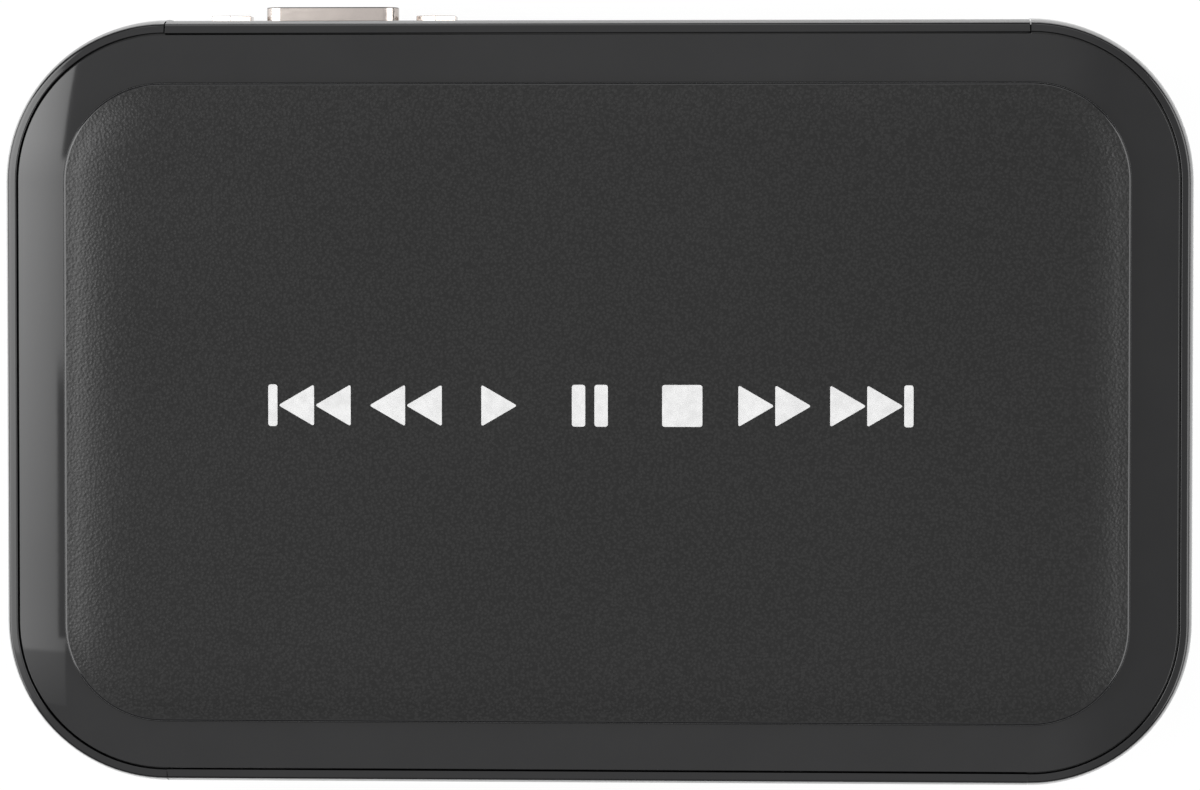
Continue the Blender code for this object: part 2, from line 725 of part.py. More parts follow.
def cover_profile():
    edge = cover_edge_inset()
    band_z = RIM_HEIGHT + BAND_LIFT
    band_end = edge + BAND_WIDTH
    foot_z = band_z + BAND_RISE
    crown_start = panel_edge_inset()
    crown_end = crown_start + CROWN_REACH
    crown_middle = (crown_start + crown_end) / 2
    round_z = crown_height(crown_start) - SHOULDER_ROUND
    skirt_z = LEDGE_Z + FIT_GAP
    ceiling_z = foot_z - COVER_WALL
    inner_end = band_end + SHOULDER_LEAN + COVER_WALL
    tongue_end = TONGUE_INSET + TONGUE_THICKNESS
    inside = [
        (crown_end, TOTAL_HEIGHT - COVER_WALL),
        (crown_middle, crown_height(crown_middle) - COVER_WALL),
        (inner_end, crown_height(inner_end) - COVER_WALL),
        (inner_end, ceiling_z),
        (tongue_end, ceiling_z),
        (tongue_end, TONGUE_Z),
        (TONGUE_INSET, TONGUE_Z),
        (TONGUE_INSET, skirt_z),
    ]
    outside = [(edge, skirt_z)]
    for turn in (0.0, math.pi / 4, math.pi / 2):
        inset = edge + BAND_EDGE_ROUND * (1 - math.cos(turn))
        outside.append((inset, band_z - BAND_EDGE_ROUND * (1 - math.sin(turn))))
    middle = (edge + BAND_EDGE_ROUND + band_end) / 2
    outside.append((middle, band_z + BAND_RISE * BAND_SWELL_SHARE))
    outside.append((band_end, foot_z))
    for turn in (0.0, math.pi / 6, math.pi / 3, math.pi / 2):
        inset = band_end + SHOULDER_LEAN + SHOULDER_ROUND * (1 - math.cos(turn))
        outside.append((inset, round_z + SHOULDER_ROUND * math.sin(turn)))
    outside.append((crown_middle, crown_height(crown_middle)))
    outside.append((crown_end, TOTAL_HEIGHT))
    return inside + outside


def make_top_cover():
    cover = moulding("top_cover", cover_profile())
    paint(cover, "cover_plastic")
    boss_foot = FLOOR_TOP + BOSS_HEIGHT + FIT_GAP
    boss_top = crown_height(SCREW_SIDE) - COVER_WALL + SINK
    screw_end = FOOT_PROUD + SCREW_SEAT - FIT_GAP + SCREW_LENGTH
    for name, (side_x, side_y) in FOUR_CORNERS.items():
        place = (side_x * SCREW_X, CASE_Y + side_y * SCREW_Y, boss_foot)
        boss_height = boss_top - boss_foot
        boss = rod(f"{name}_cover_boss", TOP_BOSS_RADIUS, boss_height, place, steps=ROUND_STEPS)
        join(cover, boss)
        hole_place = (place[0], place[1], boss_foot - OVERRUN)
        hole_depth = screw_end + FIT_GAP - hole_place[2]
        cut(cover, rod(f"{name}_cover_boss_hole", SCREW_RADIUS + SCREW_GAP, hole_depth, hole_place))
    rib_top = TOTAL_HEIGHT - COVER_WALL + SINK
    rib_foot = TOTAL_HEIGHT - COVER_WALL - TOP_RIB_DROP
    rib_end_y = CASE_DEPTH / 2 - panel_edge_inset() - COVER_WALL
    for name, share in (("left", -0.5), ("middle", 0.0), ("right", 0.5)):
        centre = share * PANEL_HALF
        low = (centre - TOP_RIB_THICKNESS / 2, CASE_Y - rib_end_y, rib_foot)
        high = (centre + TOP_RIB_THICKNESS / 2, CASE_Y + rib_end_y, rib_top)
        join(cover, box(f"{name}_cover_rib", low, high))
    return cover


def wall_point(side, inset, height):
    """Point of a panel insert's section: along Y, up."""
    return (side * (CASE_DEPTH / 2 - inset), height)


def make_panel(name, side):
    """Insert that continues the case wall, with a flange and ears behind the wall."""
    section = [(panel_face(inset), height) for inset, height in outer_wall(PANEL_FOOT)]
    section += rim_and_inner_wall()
    section.append((WALL + wall_inset(PANEL_FOOT), PANEL_FOOT))
    outline = [wall_point(side, inset, height) for inset, height in section]
    panel = prism(name, [outline], 2 * (PANEL_HALF - SEAM), (0.0, CASE_Y, 0.0), "X")
    paint(panel, "gloss_shell")
    ear_x = PANEL_HALF + PANEL_EAR
    front = side * (CASE_DEPTH / 2 - FLANGE_INSET)
    back = side * (CASE_DEPTH / 2 - PANEL_BACK)
    low = (-ear_x, CASE_Y + back, PANEL_FOOT + FIT_GAP)
    high = (ear_x, CASE_Y + front, PANEL_CORE_TOP)
    join(panel, box(f"{name}_flange", low, high))
    core_x = PANEL_HALF - SEAM - SINK
    front = side * (CASE_DEPTH / 2 - WALL / 2)
    back = side * (CASE_DEPTH / 2 - FLANGE_INSET - SINK)
    low = (-core_x, CASE_Y + back, PANEL_FOOT + SINK)
    high = (core_x, CASE_Y + front, PANEL_CORE_TOP - SINK)
    join(panel, box(f"{name}_core", low, high))
    return panel


def through_panel(name, side, outline, centre_x, centre_z):
    """Cutter with an outline, right through a panel insert."""
    depth = PANEL_BACK + 2 * OVERRUN
    centre_y = CASE_Y + side * (CASE_DEPTH / 2 - PANEL_BACK / 2)
    return prism(name, [outline], depth, (centre_x, centre_y, centre_z), "Y")


def make_rear_panel():
    panel = make_panel("rear_panel", 1)
    bay_depth = PANEL_BACK - PLATE_THICKNESS
    bay_width = 2 * (PANEL_HALF - PANEL_MARGIN)
    bay = rounded_rectangle(bay_width, BAY_TOP - BAY_BOTTOM, BAY_RADIUS)
    bay_y = REAR_Y - bay_depth / 2 + OVERRUN / 2
    bay_place = (0.0, bay_y, (BAY_TOP + BAY_BOTTOM) / 2)
    cut(panel, prism("port_bay", [bay], bay_depth + OVERRUN, bay_place, "Y"))
    cut(panel, through_panel("vga_cutout", 1, vga_outline(CUTOUT_GAP), REAR_X["vga"], VGA_Z))
    hex_hole = circle(VGA_HEX / 2 / math.cos(math.pi / 6) + FIT_GAP, ROUND_STEPS)
    for name, side in (("left", -1), ("right", 1)):
        centre_x = REAR_X["vga"] + side * VGA_SCREW_PITCH / 2
        cut(panel, through_panel(f"vga_screw_hole_{name}", 1, hex_hole, centre_x, VGA_Z))
    hdmi_z = SEAT_Z + HDMI_HEIGHT / 2
    cut(panel, through_panel("hdmi_cutout", 1, hdmi_outline(CUTOUT_GAP), REAR_X["hdmi"], hdmi_z))
    cut(panel, through_panel("rear_usb_hole", 1, usb_cutout(), REAR_X["usb"], SEAT_Z + USB_HEIGHT / 2))
    av_hole = circle(AV_NOSE_RADIUS + FIT_GAP, ROUND_STEPS)
    cut(panel, through_panel("av_hole", 1, av_hole, REAR_X["av"], SEAT_Z + AV_HEIGHT / 2))
    cut(panel, through_panel("dc_hole", 1, circle(DC_PLUG_RADIUS, ROUND_STEPS), REAR_X["dc"], dc_bore_z()))
    return panel


def hole_for(width, height, radius, steps=ARC_STEPS):
    """Rounded rectangle that clears a piece of this size."""
    return rounded_rectangle(width + 2 * FIT_GAP, height + 2 * FIT_GAP, radius + FIT_GAP, steps)


def usb_cutout():
    return hole_for(USB_WIDTH, USB_HEIGHT, USB_ROUND, 2)


def make_front_panel():
    panel = make_panel("front_panel", -1)
    pocket_front = FRONT_Y + WALL + LOWER_INSET
    pocket_back = FRONT_Y + PANEL_BACK + OVERRUN
    pocket_x = PANEL_HALF - PANEL_MARGIN
    low = (-pocket_x, pocket_front, BOARD_Z)
    high = (pocket_x, pocket_back, PANEL_CORE_TOP - PANEL_MARGIN / 2)
    cut(panel, box("front_pocket", low, high))
    slot = rounded_rectangle(SD_CARD_WIDTH + 2 * FIT_GAP, SD_SLOT_HEIGHT, SD_SLOT_ROUND, 2)
    cut(panel, through_panel("card_slot", -1, slot, FRONT_X["card"], SD_Z))
    cut(panel, through_panel("front_usb_hole", -1, usb_cutout(), FRONT_X["usb"], SEAT_Z + USB_HEIGHT / 2))
    window_hole = hole_for(WINDOW_WIDTH, WINDOW_HEIGHT, WINDOW_ROUND)
    cut(panel, through_panel("window_hole", -1, window_hole, FRONT_X["window"], WINDOW_Z))
    light_hole = circle(LIGHT_PIPE_RADIUS + FIT_GAP)
    cut(panel, through_panel("light_hole", -1, light_hole, FRONT_X["light"], WINDOW_Z))
    button_hole = circle(BUTTON_RADIUS + FIT_GAP, ROUND_STEPS)
    cut(panel, through_panel("button_hole", -1, button_hole, FRONT_X["button"], SWITCH_Z))
    return panel


def make_feet_and_screws():
    foot = FOOT_PROUD + FOOT_POCKET - FIT_GAP
    foot_profile = [
        (0.0, foot),
        (FOOT_RADIUS, foot),
        (FOOT_RADIUS, FOOT_ROUND),
        (FOOT_RADIUS - FOOT_ROUND, 0.0),
        (0.0, 0.0),
    ]
    seat = FOOT_PROUD + SCREW_SEAT - FIT_GAP
    screw_profile = [
        (0.0, seat + SCREW_LENGTH),
        (SCREW_RADIUS, seat + SCREW_LENGTH),
        (SCREW_RADIUS, seat),
        (SCREW_HEAD_RADIUS, seat),
        (SCREW_HEAD_RADIUS, seat - SCREW_HEAD),
        (0.0, seat - SCREW_HEAD),
    ]
    head_foot = BOARD_TOP + FIT_GAP
    board_screw_profile = [
        (0.0, head_foot + BOARD_SCREW_HEAD),
        (BOARD_SCREW_HEAD_RADIUS - BOARD_SCREW_HEAD / 2, head_foot + BOARD_SCREW_HEAD),
        (BOARD_SCREW_HEAD_RADIUS, head_foot + BOARD_SCREW_HEAD / 2),
        (BOARD_SCREW_HEAD_RADIUS, head_foot),
        (BOARD_SCREW_RADIUS, head_foot),
        (BOARD_SCREW_RADIUS, head_foot - BOARD_SCREW_LENGTH),
        (0.0, head_foot - BOARD_SCREW_LENGTH),
    ]
    for name, (side_x, side_y) in FOUR_CORNERS.items():
        foot_place = (side_x * FOOT_X, CASE_Y + side_y * FOOT_Y, 0.0)
        paint(turned(f"rubber_foot_{name}", foot_profile, foot_place), "rubber")
        screw_place = (side_x * SCREW_X, CASE_Y + side_y * SCREW_Y, 0.0)
        paint(turned(f"case_screw_{name}", screw_profile, screw_place, steps=SMALL_STEPS), "zinc_steel")
        screw_place = (side_x * BOARD_SCREW_X, CASE_Y + side_y * BOARD_SCREW_Y, 0.0)
        screw = turned(f"board_screw_{name}", board_screw_profile, screw_place, steps=SMALL_STEPS)
        paint(screw, "zinc_steel")


def make_board():
    outlines = [rounded_rectangle(BOARD_LENGTH, BOARD_DEPTH, BOARD_CORNER, 2)]
    for side_x, side_y in FOUR_CORNERS.values():
        hole = circle(BOARD_SCREW_RADIUS + FIT_GAP)
        outlines.append(shifted(hole, side_x * BOARD_SCREW_X, side_y * BOARD_SCREW_Y))
    board = prism("main_board", outlines, BOARD_THICKNESS, (0.0, CASE_Y, BOARD_Z + BOARD_THICKNESS / 2))
    paint(board, "board_green")


def vga_outline(growth=0.0):
    """D outline, wide side up, grown or shrunk evenly on all sides. The width counts over the rounding."""
    half_height = VGA_SHELL_HEIGHT / 2 + growth
    rounded_off = VGA_SHELL_ROUND * (1 / math.tan(math.pi / 4 - VGA_SLANT / 2) - 1)
    wide = VGA_SHELL_WIDTH / 2 + rounded_off + growth / math.cos(VGA_SLANT) + growth * math.tan(VGA_SLANT)
    narrow = wide - 2 * half_height * math.tan(VGA_SLANT)
    corners = [(-narrow, -half_height), (narrow, -half_height), (wide, half_height), (-wide, half_height)]
    return rounded_polygon(corners, VGA_SHELL_ROUND + growth)


def make_vga_socket():
    centre_x = REAR_X["vga"]
    flange_y = REAR_Y - CONNECTOR_INSET
    back_y = flange_y - VGA_FLANGE_THICKNESS
    stud_hole = circle(VGA_STUD_RADIUS + FIT_GAP)
    flange = [rounded_rectangle(VGA_FLANGE_LENGTH, VGA_FLANGE_HEIGHT, VGA_STUD_RADIUS, 2)]
    for side in (-1, 1):
        flange.append(shifted(stud_hole, side * VGA_SCREW_PITCH / 2))
    flange_place = (centre_x, (flange_y + back_y) / 2, VGA_Z)
    shell = prism("vga_shell", flange, VGA_FLANGE_THICKNESS, flange_place, "Y")
    paint(shell, "nickel")
    tube_y = flange_y + (VGA_SHELL_LENGTH - VGA_FLANGE_THICKNESS / 2) / 2
    tube_depth = VGA_SHELL_LENGTH + VGA_FLANGE_THICKNESS / 2
    join(shell, prism("vga_tube", [vga_outline()], tube_depth, (centre_x, tube_y, VGA_Z), "Y"))
    bore = vga_outline(-VGA_SHELL_WALL)
    bore_depth = VGA_SHELL_LENGTH + VGA_FLANGE_THICKNESS + 2 * OVERRUN
    bore_y = flange_y + VGA_SHELL_LENGTH + OVERRUN - bore_depth / 2
    cut(shell, prism("vga_bore", [bore], bore_depth, (centre_x, bore_y, VGA_Z), "Y"))

    face_y = flange_y + VGA_SHELL_LENGTH - VGA_FACE_DROP
    block_front = back_y - FIT_GAP
    block_back = block_front - VGA_BODY_DEPTH
    nose = vga_outline(-VGA_SHELL_WALL - FIT_GAP)
    nose_depth = face_y - block_front + SINK
    low = (centre_x - VGA_BODY_LENGTH / 2, block_back, SEAT_Z)
    high = (centre_x + VGA_BODY_LENGTH / 2, block_front, SEAT_Z + VGA_FLANGE_HEIGHT)
    insulator = box("vga_insulator", low, high)
    paint(insulator, "socket_blue")
    join(insulator, prism("vga_nose", [nose], nose_depth, (centre_x, face_y - nose_depth / 2, VGA_Z), "Y"))
    holes = []
    for row in range(VGA_ROWS):
        up = (1 - row) * VGA_ROW_PITCH
        offset = VGA_PIN_PITCH / 4 if row % 2 else -VGA_PIN_PITCH / 4
        for index in range(VGA_PINS_IN_ROW):
            across = (index - (VGA_PINS_IN_ROW - 1) / 2) * VGA_PIN_PITCH + offset
            holes.append(shifted(circle(VGA_HOLE_RADIUS, PIN_STEPS), across, up))
    hole_depth = VGA_HOLE_DEPTH + OVERRUN
    hole_y = face_y + OVERRUN - hole_depth / 2
    cut(insulator, prism("vga_pin_holes", holes, hole_depth, (centre_x, hole_y, VGA_Z), "Y"))

    corner_right = circle(VGA_HEX / 2 / math.cos(math.pi / 6), 6)
    hexagon = [[(up, across) for across, up in reversed(corner_right)]]
    length = VGA_HEX_LENGTH - FIT_GAP
    for name, side in (("left", -1), ("right", 1)):
        screw_x = centre_x + side * VGA_SCREW_PITCH / 2
        hex_place = (screw_x, flange_y + FIT_GAP + length / 2, VGA_Z)
        jackscrew = prism(f"vga_jackscrew_{name}", hexagon, length, hex_place, "Y")
        paint(jackscrew, "nickel")
        stud_place = (screw_x, flange_y + FIT_GAP + SINK, VGA_Z)
        stud_length = VGA_STUD_LENGTH + SINK
        join(jackscrew, rod(f"vga_stud_{name}", VGA_STUD_RADIUS, stud_length, stud_place, "front"))
        bore_place = (screw_x, flange_y + VGA_HEX_LENGTH + OVERRUN, VGA_Z)
        bore_depth = VGA_HEX_LENGTH * VGA_THREAD_SHARE + OVERRUN
        bore_radius = VGA_STUD_RADIUS + FIT_GAP
        cut(jackscrew, rod(f"vga_thread_{name}", bore_radius, bore_depth, bore_place, "front"))


def hdmi_outline(growth=0.0):
    """Socket outline, wide side up, with its two lower corners cut back, grown evenly."""
    half_width = HDMI_WIDTH / 2 + growth
    half_height = HDMI_HEIGHT / 2 + growth
    bend = growth * math.tan(math.pi / 8)
    lower = half_width - HDMI_CHAMFER - bend
    shoulder = -half_height + HDMI_CHAMFER + bend
    return [
        (-lower, -half_height),
        (lower, -half_height),
        (half_width, shoulder),
        (half_width, half_height),
        (-half_width, half_height),
        (-half_width, shoulder),
    ]


def make_hdmi_socket():
    centre_x = REAR_X["hdmi"]
    front_y = REAR_Y - PANEL_BACK + PLATE_THICKNESS + HDMI_NOSE
    centre_z = SEAT_Z + HDMI_HEIGHT / 2
    place = (centre_x, front_y - HDMI_DEPTH / 2, centre_z)
    shell = prism("hdmi_shell", [hdmi_outline(), hdmi_outline(-HDMI_WALL)], HDMI_DEPTH, place, "Y")
    paint(shell, "nickel")
    block = hdmi_outline(-HDMI_WALL - FIT_GAP)
    block_y = front_y - HDMI_DEPTH + HDMI_BLOCK_DEPTH / 2
    insulator = prism("hdmi_insulator", [block], HDMI_BLOCK_DEPTH, (centre_x, block_y, centre_z), "Y")
    paint(insulator, "dark_plastic")
    tongue_top = SEAT_Z + HDMI_HEIGHT - HDMI_WALL - FIT_GAP - HDMI_TONGUE_DROP
    low = (centre_x - HDMI_TONGUE_WIDTH / 2, block_y, tongue_top - HDMI_TONGUE_THICKNESS)
    high = (centre_x + HDMI_TONGUE_WIDTH / 2, front_y - HDMI_FACE_DROP, tongue_top)
    join(insulator, box("hdmi_tongue", low, high))


def make_av_jack():
    centre_x = REAR_X["av"]
    centre_z = SEAT_Z + AV_HEIGHT / 2
    body_y = REAR_Y - CONNECTOR_INSET
    low = (centre_x - AV_WIDTH / 2, body_y - AV_DEPTH, SEAT_Z)
    high = (centre_x + AV_WIDTH / 2, body_y, SEAT_Z + AV_HEIGHT)
    jack = box("av_jack", low, high)
    paint(jack, "dark_plastic")
    nose_length = FIT_GAP + PLATE_THICKNESS + AV_NOSE_PAST_PLATE
    nose_place = (centre_x, body_y - SINK, centre_z)
    join(jack, rod("av_nose", AV_NOSE_RADIUS, nose_length + SINK, nose_place, "rear", ROUND_STEPS))
    bore_place = (centre_x, body_y + nose_length + OVERRUN, centre_z)
    cut(jack, rod("av_bore", AV_BORE_RADIUS, AV_BORE_DEPTH + OVERRUN, bore_place, "front", SMALL_STEPS))


def dc_bore_z():
    return SEAT_Z + DC_HEIGHT - DC_WIDTH / 2


def make_dc_jack():
    centre_x = REAR_X["dc"]
    face_y = REAR_Y - CONNECTOR_INSET
    low = (centre_x - DC_WIDTH / 2, face_y - DC_DEPTH, SEAT_Z)
    high = (centre_x + DC_WIDTH / 2, face_y, SEAT_Z + DC_HEIGHT)
    jack = box("dc_jack", low, high)
    paint(jack, "dark_plastic")
    step_low = (centre_x - DC_WIDTH, face_y - DC_DEPTH - OVERRUN, SEAT_Z + DC_REAR_HEIGHT)
    step_high = (centre_x + DC_WIDTH, face_y - DC_FACE_DEPTH, SEAT_Z + DC_HEIGHT + OVERRUN)
    cut(jack, box("dc_step", step_low, step_high))
    barrel_place = (centre_x, face_y - SINK, dc_bore_z())
    barrel_radius = DC_WIDTH / 2 - SCREW_GAP
    barrel_length = DC_DEPTH - 2 * SINK
    join(jack, rod("dc_barrel", barrel_radius, barrel_length, barrel_place, "front", ROUND_STEPS))
    bore_place = (centre_x, face_y + OVERRUN, dc_bore_z())
    cut(jack, rod("dc_bore", DC_BORE_RADIUS, DC_BORE_DEPTH + OVERRUN, bore_place, "front", ROUND_STEPS))
    pin_length = DC_BORE_DEPTH - FIT_GAP - DC_PIN_DROP
    pin_profile = [
        (0.0, pin_length),
        (DC_PIN_RADIUS / 2, pin_length),
        (DC_PIN_RADIUS, pin_length - DC_PIN_RADIUS / 2),
        (DC_PIN_RADIUS, 0.0),
        (0.0, 0.0),
    ]
    pin_place = (centre_x, face_y - DC_BORE_DEPTH + FIT_GAP, dc_bore_z())
    paint(turned("dc_centre_pin", pin_profile, pin_place, "rear", SMALL_STEPS), "nickel")


def make_usb_socket(name, side, centre_x, front_y):
    """Socket with its mouth at front_y, facing the front (side -1) or the rear (side 1)."""
    centre_z = SEAT_Z + USB_HEIGHT / 2
    outer = rounded_rectangle(USB_WIDTH, USB_HEIGHT, USB_ROUND, 2)
    inner_width = USB_WIDTH - 2 * USB_WALL
    inner_height = USB_HEIGHT - 2 * USB_WALL
    inner = rounded_rectangle(inner_width, inner_height, USB_ROUND - USB_WALL, 2)
    place = (centre_x, front_y - side * USB_DEPTH / 2, centre_z)
    paint(prism(f"usb_shell_{name}", [outer, inner], USB_DEPTH, place, "Y"), "nickel")
    back_y = front_y - side * USB_DEPTH
    block_y = back_y + side * USB_BLOCK_DEPTH
    block_half = inner_width / 2 - FIT_GAP
    block_low = SEAT_Z + USB_WALL + FIT_GAP
    block_high = SEAT_Z + USB_HEIGHT - USB_WALL - FIT_GAP
    back_corner = (centre_x - block_half, back_y, block_low)
    front_corner = (centre_x + block_half, block_y, block_high)
    tongue = box(f"usb_tongue_{name}", back_corner, front_corner)
    paint(tongue, "dark_plastic")
    top = SEAT_Z + USB_HEIGHT - USB_WALL - USB_TONGUE_DROP
    tip_y = front_y - side * USB_TONGUE_FACE
    root_y = back_y + side * USB_BLOCK_DEPTH / 2
    root_corner = (centre_x - USB_TONGUE_WIDTH / 2, root_y, top - USB_TONGUE_THICKNESS)
    tip_corner = (centre_x + USB_TONGUE_WIDTH / 2, tip_y, top)
    join(tongue, box(f"usb_tongue_blade_{name}", root_corner, tip_corner))


def make_card_socket():
    centre_x = FRONT_X["card"]
    front_y = FRONT_Y + SD_FACE_INSET
    half = SD_WIDTH / 2
    inner = half - SD_SHEET
    cover = [
        (-half, 0.0),
        (-inner, 0.0),
        (-inner, SD_HEIGHT - SD_SHEET),
        (inner, SD_HEIGHT - SD_SHEET),
        (inner, 0.0),
        (half, 0.0),
        (half, SD_HEIGHT),
        (-half, SD_HEIGHT),
    ]
    cover_place = (centre_x, front_y + SD_DEPTH / 2, SEAT_Z)
    paint(prism("sd_cover", [cover], SD_DEPTH, cover_place, "Y"), "zinc_steel")
    rail_top = SD_HEIGHT - SD_SHEET - FIT_GAP
    rail_outer = inner - FIT_GAP
    rail_inner = SD_CARD_WIDTH / 2 + FIT_GAP
    tray = [
        (-rail_outer, 0.0),
        (rail_outer, 0.0),
        (rail_outer, rail_top),
        (rail_inner, rail_top),
        (rail_inner, SD_FLOOR),
        (-rail_inner, SD_FLOOR),
        (-rail_inner, rail_top),
        (-rail_outer, rail_top),
    ]
    tray_place = (centre_x, front_y + (SD_DEPTH + FIT_GAP) / 2, SEAT_Z)
    base = prism("sd_base", [tray], SD_DEPTH - FIT_GAP, tray_place, "Y")
    paint(base, "dark_plastic")
    wall_x = rail_inner + SCREW_GAP
    low = (centre_x - wall_x, front_y + SD_DEPTH - SD_REAR_WALL - SCREW_GAP, SEAT_Z + SCREW_GAP)
    high = (centre_x + wall_x, front_y + SD_DEPTH - SCREW_GAP, SEAT_Z + rail_top - SCREW_GAP)
    join(base, box("sd_rear_wall", low, high))


def make_window_and_receiver():
    centre_x = FRONT_X["window"]
    inner_face = FRONT_Y + WALL + LOWER_INSET
    flange_front = inner_face + FIT_GAP
    flange_width = WINDOW_WIDTH + 2 * WINDOW_RIM
    flange = rounded_rectangle(flange_width, WINDOW_HEIGHT + 2 * WINDOW_RIM, WINDOW_ROUND, 2)
    place = (centre_x, flange_front + WINDOW_RIM_THICKNESS / 2, WINDOW_Z)
    window = prism("ir_window", [flange], WINDOW_RIM_THICKNESS, place, "Y")
    paint(window, "smoked_window")
    pane = rounded_rectangle(WINDOW_WIDTH, WINDOW_HEIGHT, WINDOW_ROUND)
    pane_front = FRONT_Y + panel_face(wall_inset(WINDOW_Z))
    pane_depth = flange_front + WINDOW_RIM_THICKNESS / 2 - pane_front
    pane_place = (centre_x, pane_front + pane_depth / 2, WINDOW_Z)
    join(window, prism("window_pane", [pane], pane_depth, pane_place, "Y"))

    body_y = FRONT_Y + RECEIVER_INSET
    low = (centre_x - RECEIVER_WIDTH / 2, body_y, SEAT_Z)
    high = (centre_x + RECEIVER_WIDTH / 2, body_y + RECEIVER_DEPTH, SEAT_Z + RECEIVER_HEIGHT)
    receiver = box("ir_receiver", low, high)
    paint(receiver, "chip_black")
    lens_profile = []
    for step in range(ARC_STEPS + 1):
        turn = math.pi / 2 * step / ARC_STEPS
        lens_profile.append((RECEIVER_LENS_RADIUS * math.sin(turn), RECEIVER_LENS_RADIUS * math.cos(turn)))
    lens_profile.append((RECEIVER_LENS_RADIUS, -SINK))
    lens_profile.append((0.0, -SINK))
    lens_place = (centre_x, body_y, WINDOW_Z)
    join(receiver, turned("receiver_lens", lens_profile, lens_place, "front", SMALL_STEPS))


def make_light():
    centre_x = FRONT_X["light"]
    pipe_front = FRONT_Y + panel_face(wall_inset(WINDOW_Z))
    flange_front = FRONT_Y + WALL + LOWER_INSET + FIT_GAP
    reach = flange_front - pipe_front
    pipe_profile = [
        (0.0, reach),
        (LIGHT_PIPE_RADIUS, reach),
        (LIGHT_PIPE_RADIUS, 0.0),
        (LIGHT_PIPE_FLANGE_RADIUS, 0.0),
        (LIGHT_PIPE_FLANGE_RADIUS, -LIGHT_PIPE_FLANGE),
        (0.0, -LIGHT_PIPE_FLANGE),
    ]
    pipe_place = (centre_x, flange_front, WINDOW_Z)
    pipe = turned("led_light_pipe", pipe_profile, pipe_place, "front", SMALL_STEPS)
    paint(pipe, "clear_plastic")
    led_front = flange_front + LIGHT_PIPE_FLANGE + FIT_GAP
    barrel = LED_LENGTH - LED_RADIUS
    led_profile = []
    for step in range(ARC_STEPS + 1):
        turn = math.pi / 2 * step / ARC_STEPS
        led_profile.append((LED_RADIUS * math.sin(turn), barrel + LED_RADIUS * math.cos(turn)))
    led_profile += [
        (LED_RADIUS, LED_FLANGE),
        (LED_FLANGE_RADIUS, LED_FLANGE),
        (LED_FLANGE_RADIUS, 0.0),
        (0.0, 0.0),
    ]
    led_place = (centre_x, led_front + LED_LENGTH, WINDOW_Z)
    led = turned("status_led", led_profile, led_place, "front", SMALL_STEPS)
    paint(led, "clear_plastic")
    low = (centre_x - LED_RADIUS, led_front + LED_LENGTH - SINK, SEAT_Z)
    high = (centre_x + LED_RADIUS, led_front + LED_LENGTH + LED_RADIUS, WINDOW_Z)
    join(led, box("led_holder", low, high))


def make_button_and_switch():
    centre_x = FRONT_X["button"]
    tip_y = FRONT_Y - BUTTON_PROUD
    flange_front = FRONT_Y + WALL + LOWER_INSET + FIT_GAP
    plunger_y = FRONT_Y + SWITCH_INSET - PLUNGER_PROUD
    stem_end = plunger_y - FIT_GAP
    reach = flange_front - tip_y
    profile = [
        (0.0, reach),
        (BUTTON_RADIUS / 2, reach - BUTTON_DOME / 4),
        (BUTTON_RADIUS, reach - BUTTON_DOME),
        (BUTTON_RADIUS, 0.0),
        (BUTTON_FLANGE_RADIUS, 0.0),
        (BUTTON_FLANGE_RADIUS, -BUTTON_FLANGE),
        (BUTTON_STEM_RADIUS, -BUTTON_FLANGE),
        (BUTTON_STEM_RADIUS, flange_front - stem_end),
        (0.0, flange_front - stem_end),
    ]
    button = turned("power_button", profile, (centre_x, flange_front, SWITCH_Z), "front", ROUND_STEPS)
    paint(button, "gloss_shell")
    switch_y = FRONT_Y + SWITCH_INSET
    low = (centre_x - SWITCH_SIZE / 2, switch_y, SEAT_Z)
    high = (centre_x + SWITCH_SIZE / 2, switch_y + SWITCH_DEPTH, SEAT_Z + SWITCH_SIZE)
    switch = box("tact_switch", low, high)
    paint(switch, "chip_black")
    well_depth = PLUNGER_DEPTH + BUTTON_TRAVEL + FIT_GAP
    well_place = (centre_x, switch_y - OVERRUN, SWITCH_Z)
    well_radius = PLUNGER_RADIUS + SCREW_GAP
    cut(switch, rod("plunger_well", well_radius, well_depth + OVERRUN, well_place, "rear", ROUND_STEPS))
    plunger_place = (centre_x, switch_y + PLUNGER_DEPTH, SWITCH_Z)
    plunger_length = PLUNGER_DEPTH + PLUNGER_PROUD
    plunger = rod("switch_plunger", PLUNGER_RADIUS, plunger_length, plunger_place, "front", ROUND_STEPS)
    paint(plunger, "dark_plastic")


def board_place(shares, height):
    """Place on the board, given as shares of half its length and half its depth."""
    return (shares[0] * BOARD_LENGTH / 2, CASE_Y + shares[1] * BOARD_DEPTH / 2, height)


def square_chip(name, size, height, base_z, material_name):
    """Square piece of the processor's stack."""
    centre = Vector(board_place(PROCESSOR_PLACE_SHARES, base_z))
    half = Vector((size / 2, size / 2, 0.0))
    chip = box(name, centre - half, centre + half + Vector((0.0, 0.0, height)))
    return paint(round_edges(chip, CHIP_EDGE), material_name)


